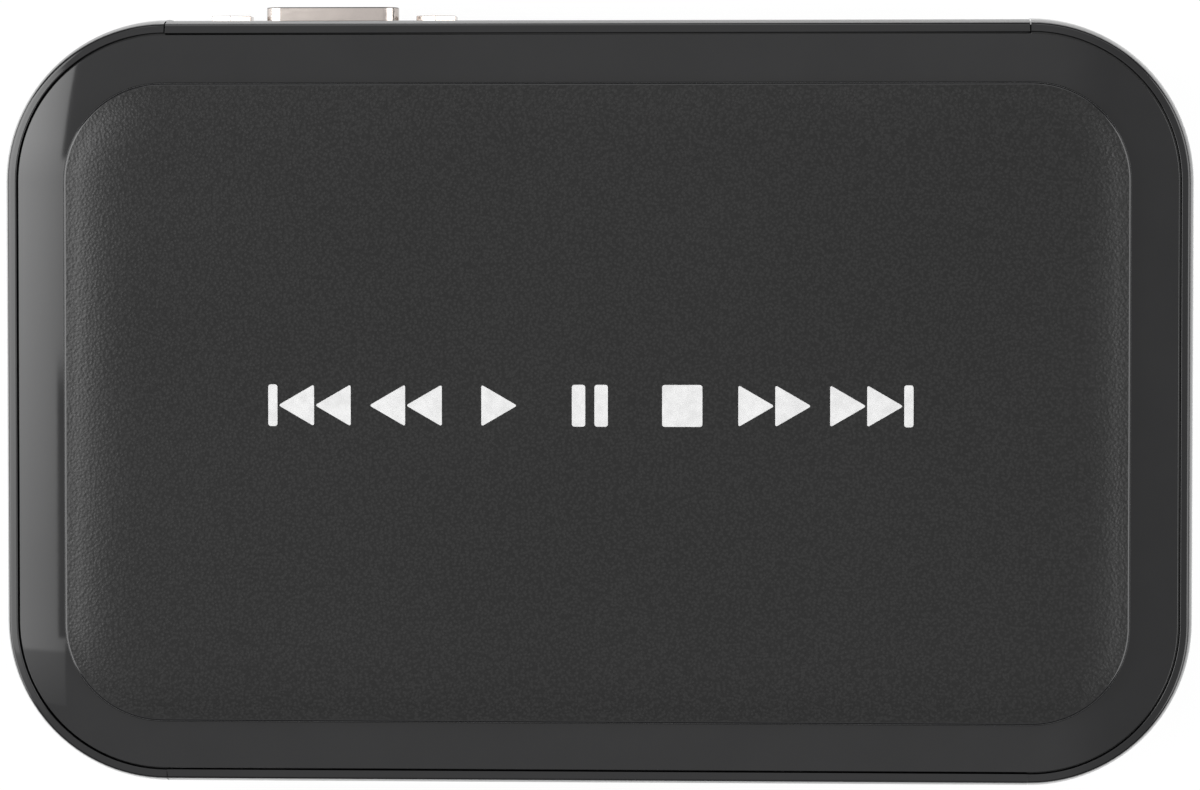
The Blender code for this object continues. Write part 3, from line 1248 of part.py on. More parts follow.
def make_processor():
    square_chip("media_processor", PROCESSOR_SIZE, PROCESSOR_HEIGHT, SEAT_Z, "chip_black")
    pad_z = SEAT_Z + PROCESSOR_HEIGHT + FIT_GAP
    square_chip("thermal_pad", PAD_SIZE, PAD_HEIGHT, pad_z, "silicone")
    half = SINK_SIZE / 2
    pitch = (SINK_SIZE - SINK_FIN) / (SINK_FINS - 1)
    comb = [(-half, 0.0), (half, 0.0)]
    for index in reversed(range(SINK_FINS)):
        left = -half + index * pitch
        comb += [(left + SINK_FIN, SINK_HEIGHT), (left, SINK_HEIGHT)]
        if index:
            comb += [(left, SINK_BASE), (left - pitch + SINK_FIN, SINK_BASE)]
    sink_z = pad_z + PAD_HEIGHT + FIT_GAP
    place = board_place(PROCESSOR_PLACE_SHARES, sink_z)
    paint(prism("heat_sink", [comb], SINK_SIZE, place, "Y"), "aluminium")


def make_chips():
    """Memory to the right of the heat sink and flash to its left, then the rows in front and behind."""
    sink_edge = board_place(PROCESSOR_PLACE_SHARES, SEAT_Z)[0]
    memory_width = CHIP_SIZES["memory_chip_left"][0]
    memory_x = sink_edge + SINK_SIZE / 2 + CHIP_GAP + memory_width / 2
    flash_x = sink_edge - SINK_SIZE / 2 - CHIP_GAP - CHIP_SIZES["flash_chip"][0] / 2
    chip_at("memory_chip_left", memory_x, MEMORY_ROW_SHARE)
    chip_at("memory_chip_right", memory_x + memory_width + CHIP_GAP, MEMORY_ROW_SHARE)
    chip_at("flash_chip", flash_x, MEMORY_ROW_SHARE)
    inductor_x = memory_x + 3 / 2 * memory_width + 2 * CHIP_GAP + INDUCTOR_SIZE / 2
    make_inductor("inductor_rear", inductor_x, MEMORY_ROW_SHARE)

    crystal_x = FRONT_X["card"] + SD_WIDTH / 2 + CHIP_GAP + CRYSTAL_LENGTH / 2
    make_crystal(crystal_x)
    regulator_width = CHIP_SIZES["regulator"][0]
    regulator_x = crystal_x + CRYSTAL_LENGTH / 2 + CHIP_GAP + regulator_width / 2
    chip_at("regulator", regulator_x, FRONT_ROW_SHARE)
    front_x = regulator_x + regulator_width / 2 + CHIP_GAP + INDUCTOR_SIZE / 2
    make_inductor("inductor_front", front_x, FRONT_ROW_SHARE)

    audio_width = CHIP_SIZES["audio_chip"][0]
    audio_x = sink_edge + SINK_SIZE / 2 + CHIP_GAP + audio_width / 2
    chip_at("audio_chip", audio_x, REAR_ROW_SHARE)
    capacitor_x = audio_x + audio_width / 2 + CHIP_GAP + CAPACITOR_RADIUS
    make_capacitor("capacitor_left", capacitor_x)
    make_capacitor("capacitor_right", capacitor_x + 2 * CAPACITOR_RADIUS + CHIP_GAP)


def row_y(share):
    return CASE_Y + share * BOARD_DEPTH / 2


def chip_at(name, centre_x, row_share):
    length, width, height = CHIP_SIZES[name]
    low = (centre_x - length / 2, row_y(row_share) - width / 2, SEAT_Z)
    high = (centre_x + length / 2, row_y(row_share) + width / 2, SEAT_Z + height)
    return paint(round_edges(box(name, low, high), CHIP_EDGE), "chip_black")


def make_inductor(name, centre_x, row_share):
    outline = rounded_rectangle(INDUCTOR_SIZE, INDUCTOR_SIZE, INDUCTOR_CORNER, 2)
    place = (centre_x, row_y(row_share), SEAT_Z + INDUCTOR_HEIGHT / 2)
    paint(prism(name, [outline], INDUCTOR_HEIGHT, place), "ferrite")


def make_crystal(centre_x):
    outline = rounded_rectangle(CRYSTAL_LENGTH, CRYSTAL_WIDTH, CRYSTAL_WIDTH / 2 - SCREW_GAP)
    place = (centre_x, row_y(FRONT_ROW_SHARE), SEAT_Z + CRYSTAL_HEIGHT / 2)
    crystal = prism("crystal", [outline], CRYSTAL_HEIGHT, place)
    paint(round_edges(crystal, CAPACITOR_ROUND), "zinc_steel")


def make_capacitor(name, centre_x):
    can = [
        (0.0, CAPACITOR_HEIGHT),
        (CAPACITOR_RADIUS - CAPACITOR_ROUND, CAPACITOR_HEIGHT),
        (CAPACITOR_RADIUS, CAPACITOR_HEIGHT - CAPACITOR_ROUND),
        (CAPACITOR_RADIUS, CAPACITOR_BASE * 2),
        (CAPACITOR_RADIUS - CAPACITOR_NECK, CAPACITOR_BASE * 3 / 2),
        (CAPACITOR_RADIUS, CAPACITOR_BASE),
        (CAPACITOR_RADIUS, 0.0),
        (0.0, 0.0),
    ]
    paint(turned(name, can, (centre_x, row_y(REAR_ROW_SHARE), SEAT_Z)), "aluminium")


clear_scene()
parts = make_collection("media_player")
cutters = make_collection("cutters")
make_bottom_case()
make_top_cover()
make_rear_panel()
make_front_panel()
make_feet_and_screws()
make_board()
make_vga_socket()
make_hdmi_socket()
make_av_jack()
make_dc_jack()
make_usb_socket("front", -1, FRONT_X["usb"], FRONT_Y + USB_FACE_INSET)
make_usb_socket("rear", 1, REAR_X["usb"], REAR_Y - PANEL_BACK + PLATE_THICKNESS)
make_card_socket()
make_window_and_receiver()
make_light()
make_button_and_switch()
make_processor()
make_chips()
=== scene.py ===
# Desktop media player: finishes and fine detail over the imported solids
import json
import math

import bmesh
import bpy
from mathutils import Matrix, Vector


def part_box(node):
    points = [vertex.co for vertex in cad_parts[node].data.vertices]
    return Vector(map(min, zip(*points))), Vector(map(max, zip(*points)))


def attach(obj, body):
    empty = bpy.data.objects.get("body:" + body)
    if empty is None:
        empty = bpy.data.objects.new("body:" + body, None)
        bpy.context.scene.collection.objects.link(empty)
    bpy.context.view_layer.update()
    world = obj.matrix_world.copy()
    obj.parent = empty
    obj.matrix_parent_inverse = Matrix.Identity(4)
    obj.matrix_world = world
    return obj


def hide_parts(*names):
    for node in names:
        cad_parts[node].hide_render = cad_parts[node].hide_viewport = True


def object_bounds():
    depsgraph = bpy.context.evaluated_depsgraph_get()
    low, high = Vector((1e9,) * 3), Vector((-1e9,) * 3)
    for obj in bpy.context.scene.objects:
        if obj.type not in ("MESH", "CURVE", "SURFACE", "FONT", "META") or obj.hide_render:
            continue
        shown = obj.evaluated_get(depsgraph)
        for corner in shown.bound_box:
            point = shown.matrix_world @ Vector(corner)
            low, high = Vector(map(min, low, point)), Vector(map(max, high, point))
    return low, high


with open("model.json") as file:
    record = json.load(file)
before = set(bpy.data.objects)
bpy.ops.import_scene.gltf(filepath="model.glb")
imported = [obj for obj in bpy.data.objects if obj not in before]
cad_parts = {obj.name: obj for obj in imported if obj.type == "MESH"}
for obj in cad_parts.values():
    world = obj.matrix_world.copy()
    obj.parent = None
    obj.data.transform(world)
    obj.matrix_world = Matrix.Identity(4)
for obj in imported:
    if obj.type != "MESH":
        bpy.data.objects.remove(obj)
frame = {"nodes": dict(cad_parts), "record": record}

nodes = frame["nodes"]
scene = bpy.context.scene
cadLow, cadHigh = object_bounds()
weldDistance = 0.00001
cornerNames = ("front_left", "front_right", "rear_left", "rear_right")
print("frame loaded:", len(nodes), "nodes")

# The case outline that the mouldings follow: lengths in metres
caseLow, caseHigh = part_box("bottom_case")
caseSettings = {
    "length": 0.1435,
    "depth": 0.0925,
    "cornerRadius": 0.01975,
    "cornerSteps": 28,
    "centreY": (caseLow.y + caseHigh.y) / 2,
    "rimHeight": caseHigh.z,
    "footHeight": caseLow.z,
    "top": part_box("top_cover")[1].z,
    "crease": 40.0,
}


# Mesh helpers

def addMesh(name, shape, creaseAngle=35.0):
    mesh = bpy.data.meshes.new(name)
    shape.normal_update()
    shape.to_mesh(mesh)
    shape.free()
    mesh.shade_smooth()
    mesh.set_sharp_from_angle(angle=math.radians(creaseAngle))
    piece = bpy.data.objects.new(name, mesh)
    scene.collection.objects.link(piece)
    return piece


def finishPiece(piece, body, slotName, *materials):
    for material in materials:
        piece.data.materials.append(material)
    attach(piece, body)


def middleOf(nodeName):
    low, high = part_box(nodeName)
    return (low + high) / 2


# A closed mesh taken from a piece, or added to it; the cutter goes
def cutWith(piece, shape, name, operation="DIFFERENCE"):
    bmesh.ops.recalc_face_normals(shape, faces=shape.faces)
    cutter = addMesh(name, shape)
    change = piece.modifiers.new(name, "BOOLEAN")
    change.solver = "EXACT"
    change.operation = operation
    change.object = cutter
    bpy.context.view_layer.update()
    solved = piece.evaluated_get(bpy.context.evaluated_depsgraph_get())
    mesh = bpy.data.meshes.new_from_object(solved)
    piece.modifiers.clear()
    piece.data = mesh
    bpy.data.objects.remove(cutter)


def addBox(shape, low, high):
    made = bmesh.ops.create_cube(shape, size=1.0)["verts"]
    size = [abs(b - a) for a, b in zip(low, high)]
    middle = [(a + b) / 2 for a, b in zip(low, high)]
    bmesh.ops.scale(shape, vec=size, verts=made)
    bmesh.ops.translate(shape, vec=middle, verts=made)
    return made


# An upright round bar over or under a place
def addBar(shape, radius, place, low, high, segments):
    start = Vector((place.x, place.y, low))
    along = Vector((place.x, place.y, high)) - start
    turn = along.to_track_quat("Z", "Y").to_matrix().to_4x4()
    bmesh.ops.create_cone(
        shape,
        cap_ends=True,
        segments=segments,
        radius1=radius,
        radius2=radius,
        depth=along.length,
        matrix=Matrix.Translation(start + along / 2) @ turn,
    )


# A section of (radius, height) points turned about an axis from a place, closed to a loop if asked
def addTurned(shape, profile, place, direction, closed=False, steps=24):
    turn = Vector(direction).to_track_quat("Z", "Y").to_matrix()
    points = [Vector(place) + turn @ Vector((radius, 0.0, height)) for radius, height in profile]
    corners = [shape.verts.new(point) for point in points]
    pairs = list(zip(corners, corners[1:]))
    if closed:
        pairs.append((corners[-1], corners[0]))
    section = [shape.edges.new(pair) for pair in pairs]
    bmesh.ops.spin(
        shape, geom=corners + section, cent=place, axis=turn.col[2], angle=2 * math.pi, steps=steps)
    bmesh.ops.remove_doubles(shape, verts=shape.verts, dist=weldDistance)
    bmesh.ops.recalc_face_normals(shape, faces=shape.faces)


# One wall section spun round a corner, run out to the middle planes, mirrored and closed
def addRoundedShell(shape, profile):
    settings = caseSettings
    centre = Vector((
        settings["length"] / 2 - settings["cornerRadius"],
        settings["depth"] / 2 - settings["cornerRadius"],
        0.0,
    ))
    corners = []
    for inset, height in profile:
        corners.append(shape.verts.new((centre.x + settings["cornerRadius"] - inset, centre.y, height)))
    section = [shape.edges.new(pair) for pair in zip(corners, corners[1:])]
    spun = bmesh.ops.spin(
        shape,
        geom=corners + section,
        cent=centre,
        axis=(0.0, 0.0, 1.0),
        angle=math.pi / 2,
        steps=settings["cornerSteps"],
    )["geom_last"]
    lastSection = [part for part in spun if isinstance(part, bmesh.types.BMEdge)]
    for edges, vector in ((section, (0.0, -centre.y, 0.0)), (lastSection, (-centre.x, 0.0, 0.0))):
        moved = bmesh.ops.extrude_edge_only(shape, edges=edges)["geom"]
        bmesh.ops.translate(shape, vec=vector, verts=[p for p in moved if isinstance(p, bmesh.types.BMVert)])
    for axis in ("X", "Y"):
        everything = shape.verts[:] + shape.edges[:] + shape.faces[:]
        bmesh.ops.mirror(shape, geom=everything, axis=axis, merge_dist=weldDistance)
    bmesh.ops.remove_doubles(shape, verts=shape.verts, dist=weldDistance)
    bmesh.ops.holes_fill(shape, edges=shape.edges, sides=0)
    bmesh.ops.recalc_face_normals(shape, faces=shape.faces)
    bmesh.ops.translate(shape, vec=(0.0, settings["centreY"], 0.0), verts=shape.verts)


# How far a point stands in from the widest outline of the case
def insetOf(point):
    settings = caseSettings
    across = abs(point.x) - (settings["length"] / 2 - settings["cornerRadius"])
    along = abs(point.y - settings["centreY"]) - (settings["depth"] / 2 - settings["cornerRadius"])
    outside = math.hypot(max(across, 0.0), max(along, 0.0))
    inside = min(max(across, along), 0.0)
    return settings["cornerRadius"] - outside - inside


# A node's own mesh, welded and with its edges softened, in place of the node
dressSettings = {
    "flatAngle": 0.5,
    "edgeAngle": 40.0,
}


def dressNode(nodeName, material, edge, segments=2, body="player"):
    slotName = [s["material_slot"] for s in frame["record"]["subparts"] if s["node"] == nodeName][0]
    shape = bmesh.new()
    shape.from_mesh(nodes[nodeName].data)
    bmesh.ops.remove_doubles(shape, verts=shape.verts, dist=weldDistance)
    flat = math.radians(dressSettings["flatAngle"])
    bmesh.ops.dissolve_limit(shape, angle_limit=flat, verts=shape.verts, edges=shape.edges)
    piece = addMesh(nodeName + "Dressed", shape)
    bevel = piece.modifiers.new("softEdge", "BEVEL")
    bevel.width = edge
    bevel.segments = segments
    bevel.limit_method = "ANGLE"
    bevel.angle_limit = math.radians(dressSettings["edgeAngle"])
    bevel.harden_normals = True
    finishPiece(piece, body, slotName, material)
    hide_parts(nodeName)
    return piece


# Sets a node's inputs by name or number: a socket is linked to, anything else is the value
def feed(tree, node, inputs):
    for label, value in inputs.items():
        if isinstance(value, bpy.types.NodeSocket):
            tree.links.new(value, node.inputs[label])
        else:
            node.inputs[label].default_value = value
    return node


def addNode(tree, kind, inputs=None, **values):
    node = tree.nodes.new(kind)
    for label, value in values.items():
        setattr(node, label, value)
    return feed(tree, node, inputs or {})


def addMath(tree, operation, *inputs):
    return addNode(tree, "ShaderNodeMath", dict(enumerate(inputs)), operation=operation).outputs["Value"]


# A value mapped from one range to another, 0 to 1 unless told
def addRange(tree, value, low, high, least=0.0, most=1.0, shape="LINEAR"):
    return addNode(tree, "ShaderNodeMapRange", {
        "Value": value, "From Min": low, "From Max": high, "To Min": least, "To Max": most,
    }, interpolation_type=shape).outputs["Result"]


def addObjectPlace(tree):
    return addNode(tree, "ShaderNodeTexCoord").outputs["Object"]


# Shared shader groups: each puts out colours, masks, values or normals only
def startGroup(name, inputs, outputs):
    group = bpy.data.node_groups.new(name, "ShaderNodeTree")
    for label, kind, value in inputs:
        socket = group.interface.new_socket(name=label, in_out="INPUT", socket_type=kind)
        socket.default_value = value
    for label, kind in outputs:
        group.interface.new_socket(name=label, in_out="OUTPUT", socket_type=kind)
    return group, group.nodes.new("NodeGroupInput").outputs, group.nodes.new("NodeGroupOutput")


# Two close tones of the same stuff, in soft clouds
def buildMottleGroup():
    group, given, end = startGroup(
        "softMottle",
        [("Scale", "NodeSocketFloat", 80.0), ("Light", "NodeSocketColor", (0.1, 0.1, 0.1, 1.0)),
         ("Dark", "NodeSocketColor", (0.05, 0.05, 0.05, 1.0))],
        [("Color", "NodeSocketColor")],
    )
    clouds = addNode(group, "ShaderNodeTexNoise", {
        "Vector": addObjectPlace(group), "Scale": given["Scale"], "Detail": 4.0, "Roughness": 0.6})
    blend = addNode(group, "ShaderNodeMix", {
        "Factor": addRange(group, clouds.outputs["Fac"], 0.35, 0.65),
        "A": given["Dark"], "B": given["Light"]}, data_type="RGBA")
    feed(group, end, {"Color": blend.outputs["Result"]})
    return group


# Fine surface grain: a height for the bump and a roughness that changes slowly
def buildGrainGroup():
    group, given, end = startGroup(
        "fineGrain",
        [("Scale", "NodeSocketFloat", 2000.0), ("Smooth", "NodeSocketFloat", 0.2),
         ("Rough", "NodeSocketFloat", 0.4)],
        [("Height", "NodeSocketFloat"), ("Roughness", "NodeSocketFloat")],
    )
    place = addObjectPlace(group)
    noise = addNode(group, "ShaderNodeTexNoise", {"Vector": place, "Scale": given["Scale"], "Detail": 3.0})
    slow = addNode(group, "ShaderNodeTexNoise", {"Vector": place, "Scale": 45.0, "Detail": 5.0})
    spread = addRange(group, slow.outputs["Fac"], 0.3, 0.7, given["Smooth"], given["Rough"])
    feed(group, end, {"Height": noise.outputs["Fac"], "Roughness": spread})
    return group


# Pebbled tooling texture: rounded cells over a finer noise
def buildPebbleGroup():
    group, given, end = startGroup(
        "pebbledTexture",
        [("Scale", "NodeSocketFloat", 2400.0), ("Cell Share", "NodeSocketFloat", 0.6)],
        [("Height", "NodeSocketFloat"), ("Mask", "NodeSocketFloat")],
    )
    place = addObjectPlace(group)
    cells = addNode(group, "ShaderNodeTexVoronoi", {
        "Vector": place, "Scale": given["Scale"], "Smoothness": 0.6}, feature="SMOOTH_F1")
    finer = addMath(group, "MULTIPLY", given["Scale"], 1.1)
    noise = addNode(group, "ShaderNodeTexNoise", {"Vector": place, "Scale": finer, "Detail": 2.0})
    blend = addNode(group, "ShaderNodeMix", {
        "Factor": given["Cell Share"], "A": noise.outputs["Fac"], "B": cells.outputs["Distance"],
    }, data_type="FLOAT")
    patches = addNode(group, "ShaderNodeTexNoise", {"Vector": place, "Scale": 30.0, "Detail": 6.0})
    feed(group, end, {"Height": blend.outputs["Result"], "Mask": patches.outputs["Fac"]})
    return group


# Drawing and rolling marks: noise stretched along one direction
def buildBrushGroup():
    group, given, end = startGroup(
        "drawnMetal",
        [("Stretch", "NodeSocketVector", (300.0, 4000.0, 4000.0)), ("Smooth", "NodeSocketFloat", 0.2),
         ("Rough", "NodeSocketFloat", 0.4)],
        [("Height", "NodeSocketFloat"), ("Roughness", "NodeSocketFloat")],
    )
    turn = addNode(group, "ShaderNodeMapping", {
        "Vector": addObjectPlace(group), "Scale": given["Stretch"]})
    marks = addNode(group, "ShaderNodeTexNoise", {
        "Vector": turn.outputs["Vector"], "Scale": 1.0, "Detail": 3.0}).outputs["Fac"]
    spread = addRange(group, marks, 0.3, 0.7, given["Smooth"], given["Rough"])
    feed(group, end, {"Height": marks, "Roughness": spread})
    return group


mottleGroup = buildMottleGroup()
grainGroup = buildGrainGroup()
pebbleGroup = buildPebbleGroup()
brushGroup = buildBrushGroup()


def placeGroup(tree, group, inputs):
    return addNode(tree, "ShaderNodeGroup", inputs, node_tree=group)


def startMaterial(name):
    material = bpy.data.materials.new(name)
    material.use_nodes = True
    return material, material.node_tree


def feedSurface(tree, inputs):
    return feed(tree, tree.nodes["Principled BSDF"], inputs)


# Base Color from the mottle, Roughness and bump from the grain or from metal marks
def makeFinish(name, light, dark, smooth, rough, mottleScale=80.0, grainScale=2500.0, bump=0.00001,
               bumpStrength=0.5, stretch=None, metallic=0.0, ior=1.5, transmission=0.0):
    material, tree = startMaterial(name)
    mottle = placeGroup(tree, mottleGroup, {
        "Scale": mottleScale, "Light": (*light, 1.0), "Dark": (*dark, 1.0)})
    marks = {"Stretch": stretch} if stretch else {"Scale": grainScale}
    surface = placeGroup(tree, brushGroup if stretch else grainGroup, {
        **marks, "Smooth": smooth, "Rough": rough})
    relief = addNode(tree, "ShaderNodeBump", {
        "Strength": bumpStrength, "Distance": bump, "Height": surface.outputs["Height"]})
    feedSurface(tree, {
        "Metallic": metallic,
        "IOR": ior,
        "Transmission Weight": transmission,
        "Base Color": mottle.outputs["Color"],
        "Roughness": surface.outputs["Roughness"],
        "Normal": relief.outputs["Normal"],
    })
    return material


glossShell = makeFinish("glossShell", (0.0055, 0.0055, 0.006), (0.004, 0.004, 0.0045), 0.04, 0.09,
                        grainScale=900.0, bump=0.000002, bumpStrength=0.25, ior=1.46)
glossBand = makeFinish("glossBand", (0.0055, 0.0055, 0.006), (0.004, 0.004, 0.0045), 0.03, 0.06,
                       grainScale=900.0, bump=0.000002, bumpStrength=0.25, ior=1.46)
darkPlastic = makeFinish("darkPlastic", (0.016, 0.016, 0.0165), (0.011, 0.011, 0.0115), 0.4, 0.55,
                         grainScale=4000.0)
rubberFinish = makeFinish("rubberFinish", (0.022, 0.022, 0.022), (0.014, 0.014, 0.014), 0.75, 0.9,
                          grainScale=5000.0, bump=0.00002)
nickelPlate = makeFinish("nickelPlate", (0.6, 0.54, 0.5), (0.5, 0.45, 0.42), 0.14, 0.26, metallic=1.0,
                         stretch=(900.0, 2500.0, 5000.0), bump=0.000004)
# Very dark metal for the video socket's rounded edges: a painted dark reflection, not the plating's own
# colour
paintedDarkReflection = makeFinish("paintedDarkReflection", (0.06, 0.055, 0.05), (0.035, 0.032, 0.03), 0.28, 0.4, metallic=1.0,
                       grainScale=6000.0, bump=0.000003)
zincSteel = makeFinish("zincSteel", (0.6, 0.6, 0.62), (0.5, 0.5, 0.53), 0.28, 0.42, metallic=1.0,
                       grainScale=6000.0, bump=0.000004)
goldPlate = makeFinish("goldPlate", (0.83, 0.62, 0.27), (0.74, 0.53, 0.21), 0.18, 0.3, metallic=1.0,
                       grainScale=6000.0, bump=0.000003)
solderMask = makeFinish("solderMask", (0.012, 0.12, 0.05), (0.007, 0.085, 0.035), 0.3, 0.42,
                        mottleScale=500.0, grainScale=9000.0)
socketBlue = makeFinish("socketBlue", (0.022, 0.065, 0.32), (0.015, 0.05, 0.26), 0.38, 0.5,
                        grainScale=4500.0)
chipEpoxy = makeFinish("chipEpoxy", (0.019, 0.019, 0.02), (0.012, 0.012, 0.013), 0.5, 0.65,
                       grainScale=7000.0)
padSilicone = makeFinish("padSilicone", (0.36, 0.41, 0.5), (0.3, 0.35, 0.44), 0.65, 0.8, grainScale=3000.0)
bareAluminium = makeFinish("bareAluminium", (0.66, 0.66, 0.67), (0.56, 0.56, 0.58), 0.3, 0.45, metallic=1.0,
                           stretch=(4000.0, 250.0, 4000.0), bump=0.000005)
ferriteBlack = makeFinish("ferriteBlack", (0.07, 0.07, 0.075), (0.05, 0.05, 0.055), 0.6, 0.75,
                          grainScale=5000.0, bump=0.00002)
printWhite = makeFinish("printWhite", (0.5, 0.5, 0.5), (0.44, 0.44, 0.44), 0.5, 0.65,
                        mottleScale=900.0, grainScale=5000.0, bump=0.000004)
smokedWindow = makeFinish("smokedWindow", (0.02, 0.004, 0.006), (0.012, 0.003, 0.004), 0.03, 0.07,
                          grainScale=700.0, bump=0.000001, bumpStrength=0.2)
clearPlastic = makeFinish("clearPlastic", (0.8, 0.83, 0.86), (0.72, 0.75, 0.79), 0.08, 0.16,
                          grainScale=1500.0, bump=0.000003, transmission=0.6)

mattSettings = {
    "light": (0.007, 0.007, 0.007, 1.0),
    "dark": (0.0005, 0.0005, 0.0005, 1.0),
    "heights": (0.36, 0.56),
    "sheen": (0.3, 0.7),
    "smooth": 0.29,
    "rough": 0.36,
    "pebbles": 2900.0,
    "cellShare": 0.55,
    "depth": 0.00006,
    "strength": 0.7,
    "ior": 1.41,
}


# The raised panel's matt tooling texture, with slow patches of handling sheen
def makeMattPanel():
    settings = mattSettings
    material, tree = startMaterial("mattPanel")
    pebbles = placeGroup(tree, pebbleGroup, {
        "Scale": settings["pebbles"], "Cell Share": settings["cellShare"]}).outputs
    tones = addNode(tree, "ShaderNodeMix", {
        "Factor": addRange(tree, pebbles["Height"], *settings["heights"]),
        "A": settings["light"], "B": settings["dark"]}, data_type="RGBA")
    sheen = addRange(tree, pebbles["Mask"], *settings["sheen"], settings["smooth"], settings["rough"])
    relief = addNode(tree, "ShaderNodeBump", {
        "Strength": settings["strength"], "Distance": settings["depth"], "Height": pebbles["Height"]})
    feedSurface(tree, {
        "IOR": settings["ior"],
        "Base Color": tones.outputs["Result"],
        "Roughness": sheen,
        "Normal": relief.outputs["Normal"],
    })
    return material


mattPanel = makeMattPanel()
print("materials made")


# Top cover: gloss band round the raised matt panel, one moulding
coverSettings = {
    "edgeInset": 0.0021,
    "bandLift": 0.0001,
    "bandEdgeRound": 0.00005,
    "bandEdgeTurn": 78.0,
    "bandEdgeSteps": 5,
    "bandRise": 0.001,
    "bandSwell": 0.18,
    "bandWidth": 0.0057,
    "bandSteps": 20,
    "bandCrowding": 1.7,
    "shoulderLean": 0.00006,
    "shoulderRound": 0.00045,
    "mattShare": 0.8,
    "crown": 0.0009,
    "crownReach": 0.0108,
    "crownPower": 3,
    "crownSteps": 8,
    "wall": 0.0018,
    "ceilingShares": (0.25, 0.5, 0.75),
    "tongueInset": 0.003,
    "tongueThickness": 0.0012,
    "tongueFoot": 0.0205,
    "skirtFoot": 0.0223,
    "bossRadius": 0.0036,
    "bossFoot": 0.0105,
    "bossGap": 0.0001,
    "ribPlaces": (-0.026, 0.0, 0.026),
    "ribThickness": 0.0012,
    "ribReach": 0.036,
    "ribDrop": 0.0016,
    "overlap": 0.0003,
    "insideSlope": -0.5,
}


def coverSection():
    settings = coverSettings
    top = caseSettings["top"]
    edge = settings["edgeInset"]
    bandZ = caseSettings["rimHeight"] + settings["bandLift"]
    bandEnd = edge + settings["bandWidth"]
    shoulderStart = bandEnd + settings["shoulderLean"]
    crownStart = shoulderStart + settings["shoulderRound"]
    crownEnd = crownStart + settings["crownReach"]
    innerEnd = shoulderStart + settings["wall"]
    ceiling = bandZ + settings["bandRise"] - settings["wall"]
    tongueEnd = settings["tongueInset"] + settings["tongueThickness"]

    def crownHeight(inset):
        share = max(0.0, 1 - (inset - crownStart) / settings["crownReach"])
        return top - settings["crown"] * share ** settings["crownPower"]

    section = [(crownEnd, top - settings["wall"])]
    for share in settings["ceilingShares"]:
        inset = crownEnd + share * (innerEnd - crownEnd)
        section.append((inset, crownHeight(inset) - settings["wall"]))
    section += [
        (innerEnd, crownHeight(innerEnd) - settings["wall"]),
        (innerEnd, ceiling),
        (tongueEnd, ceiling),
        (tongueEnd, settings["tongueFoot"]),
        (settings["tongueInset"], settings["tongueFoot"]),
        (settings["tongueInset"], settings["skirtFoot"]),
        (edge, settings["skirtFoot"]),
    ]
    radius = settings["bandEdgeRound"]
    for step in range(settings["bandEdgeSteps"] + 1):
        turn = math.radians(settings["bandEdgeTurn"]) * step / settings["bandEdgeSteps"]
        section.append((edge + radius * (1 - math.cos(turn)), bandZ - radius * (1 - math.sin(turn))))
    bandStart, startZ = section[-1]
    for step in range(1, settings["bandSteps"] + 1):
        share = (step / settings["bandSteps"]) ** settings["bandCrowding"]
        rise = share * (1 + settings["bandSwell"] * (1 - share))
        inset = bandStart + share * (bandEnd - bandStart)
        section.append((inset, startZ + (bandZ + settings["bandRise"] - startZ) * rise))
    roundZ = crownHeight(crownStart) - settings["shoulderRound"]
    for step in range(settings["crownSteps"] + 1):
        turn = math.pi / 2 * step / settings["crownSteps"]
        inset = shoulderStart + settings["shoulderRound"] * (1 - math.cos(turn))
        section.append((inset, roundZ + settings["shoulderRound"] * math.sin(turn)))
    for step in range(1, settings["crownSteps"] + 1):
        inset = crownStart + settings["crownReach"] * step / settings["crownSteps"]
        section.append((inset, crownHeight(inset)))
    return section, shoulderStart


def makeTopCover():
    settings = coverSettings
    shape = bmesh.new()
    section, shoulderStart = coverSection()
    addRoundedShell(shape, section)
    bandTop = caseSettings["rimHeight"] + settings["bandLift"] + settings["bandRise"]
    mattStart = shoulderStart + settings["mattShare"] * settings["shoulderRound"]
    for face in shape.faces:
        middle = face.calc_center_median()
        matt = insetOf(middle) > mattStart and middle.z > bandTop
        face.material_index = 1 if matt and face.normal.z > settings["insideSlope"] else 0
    top = caseSettings["top"] - settings["wall"] + settings["overlap"]
    for corner in cornerNames:
        addBar(shape, settings["bossRadius"], middleOf("case_screw_" + corner), settings["bossFoot"],
               top - settings["bossGap"], 32)
    half = settings["ribThickness"] / 2
    for x in settings["ribPlaces"]:
        low = (x - half, caseSettings["centreY"] - settings["ribReach"], top - settings["ribDrop"])
        addBox(shape, low, (x + half, caseSettings["centreY"] + settings["ribReach"], top))
    cover = addMesh("topCover", shape, caseSettings["crease"])
    finishPiece(cover, "player", "cover_plastic", glossBand, mattPanel)
    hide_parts("top_cover")


makeTopCover()
print("cover made")


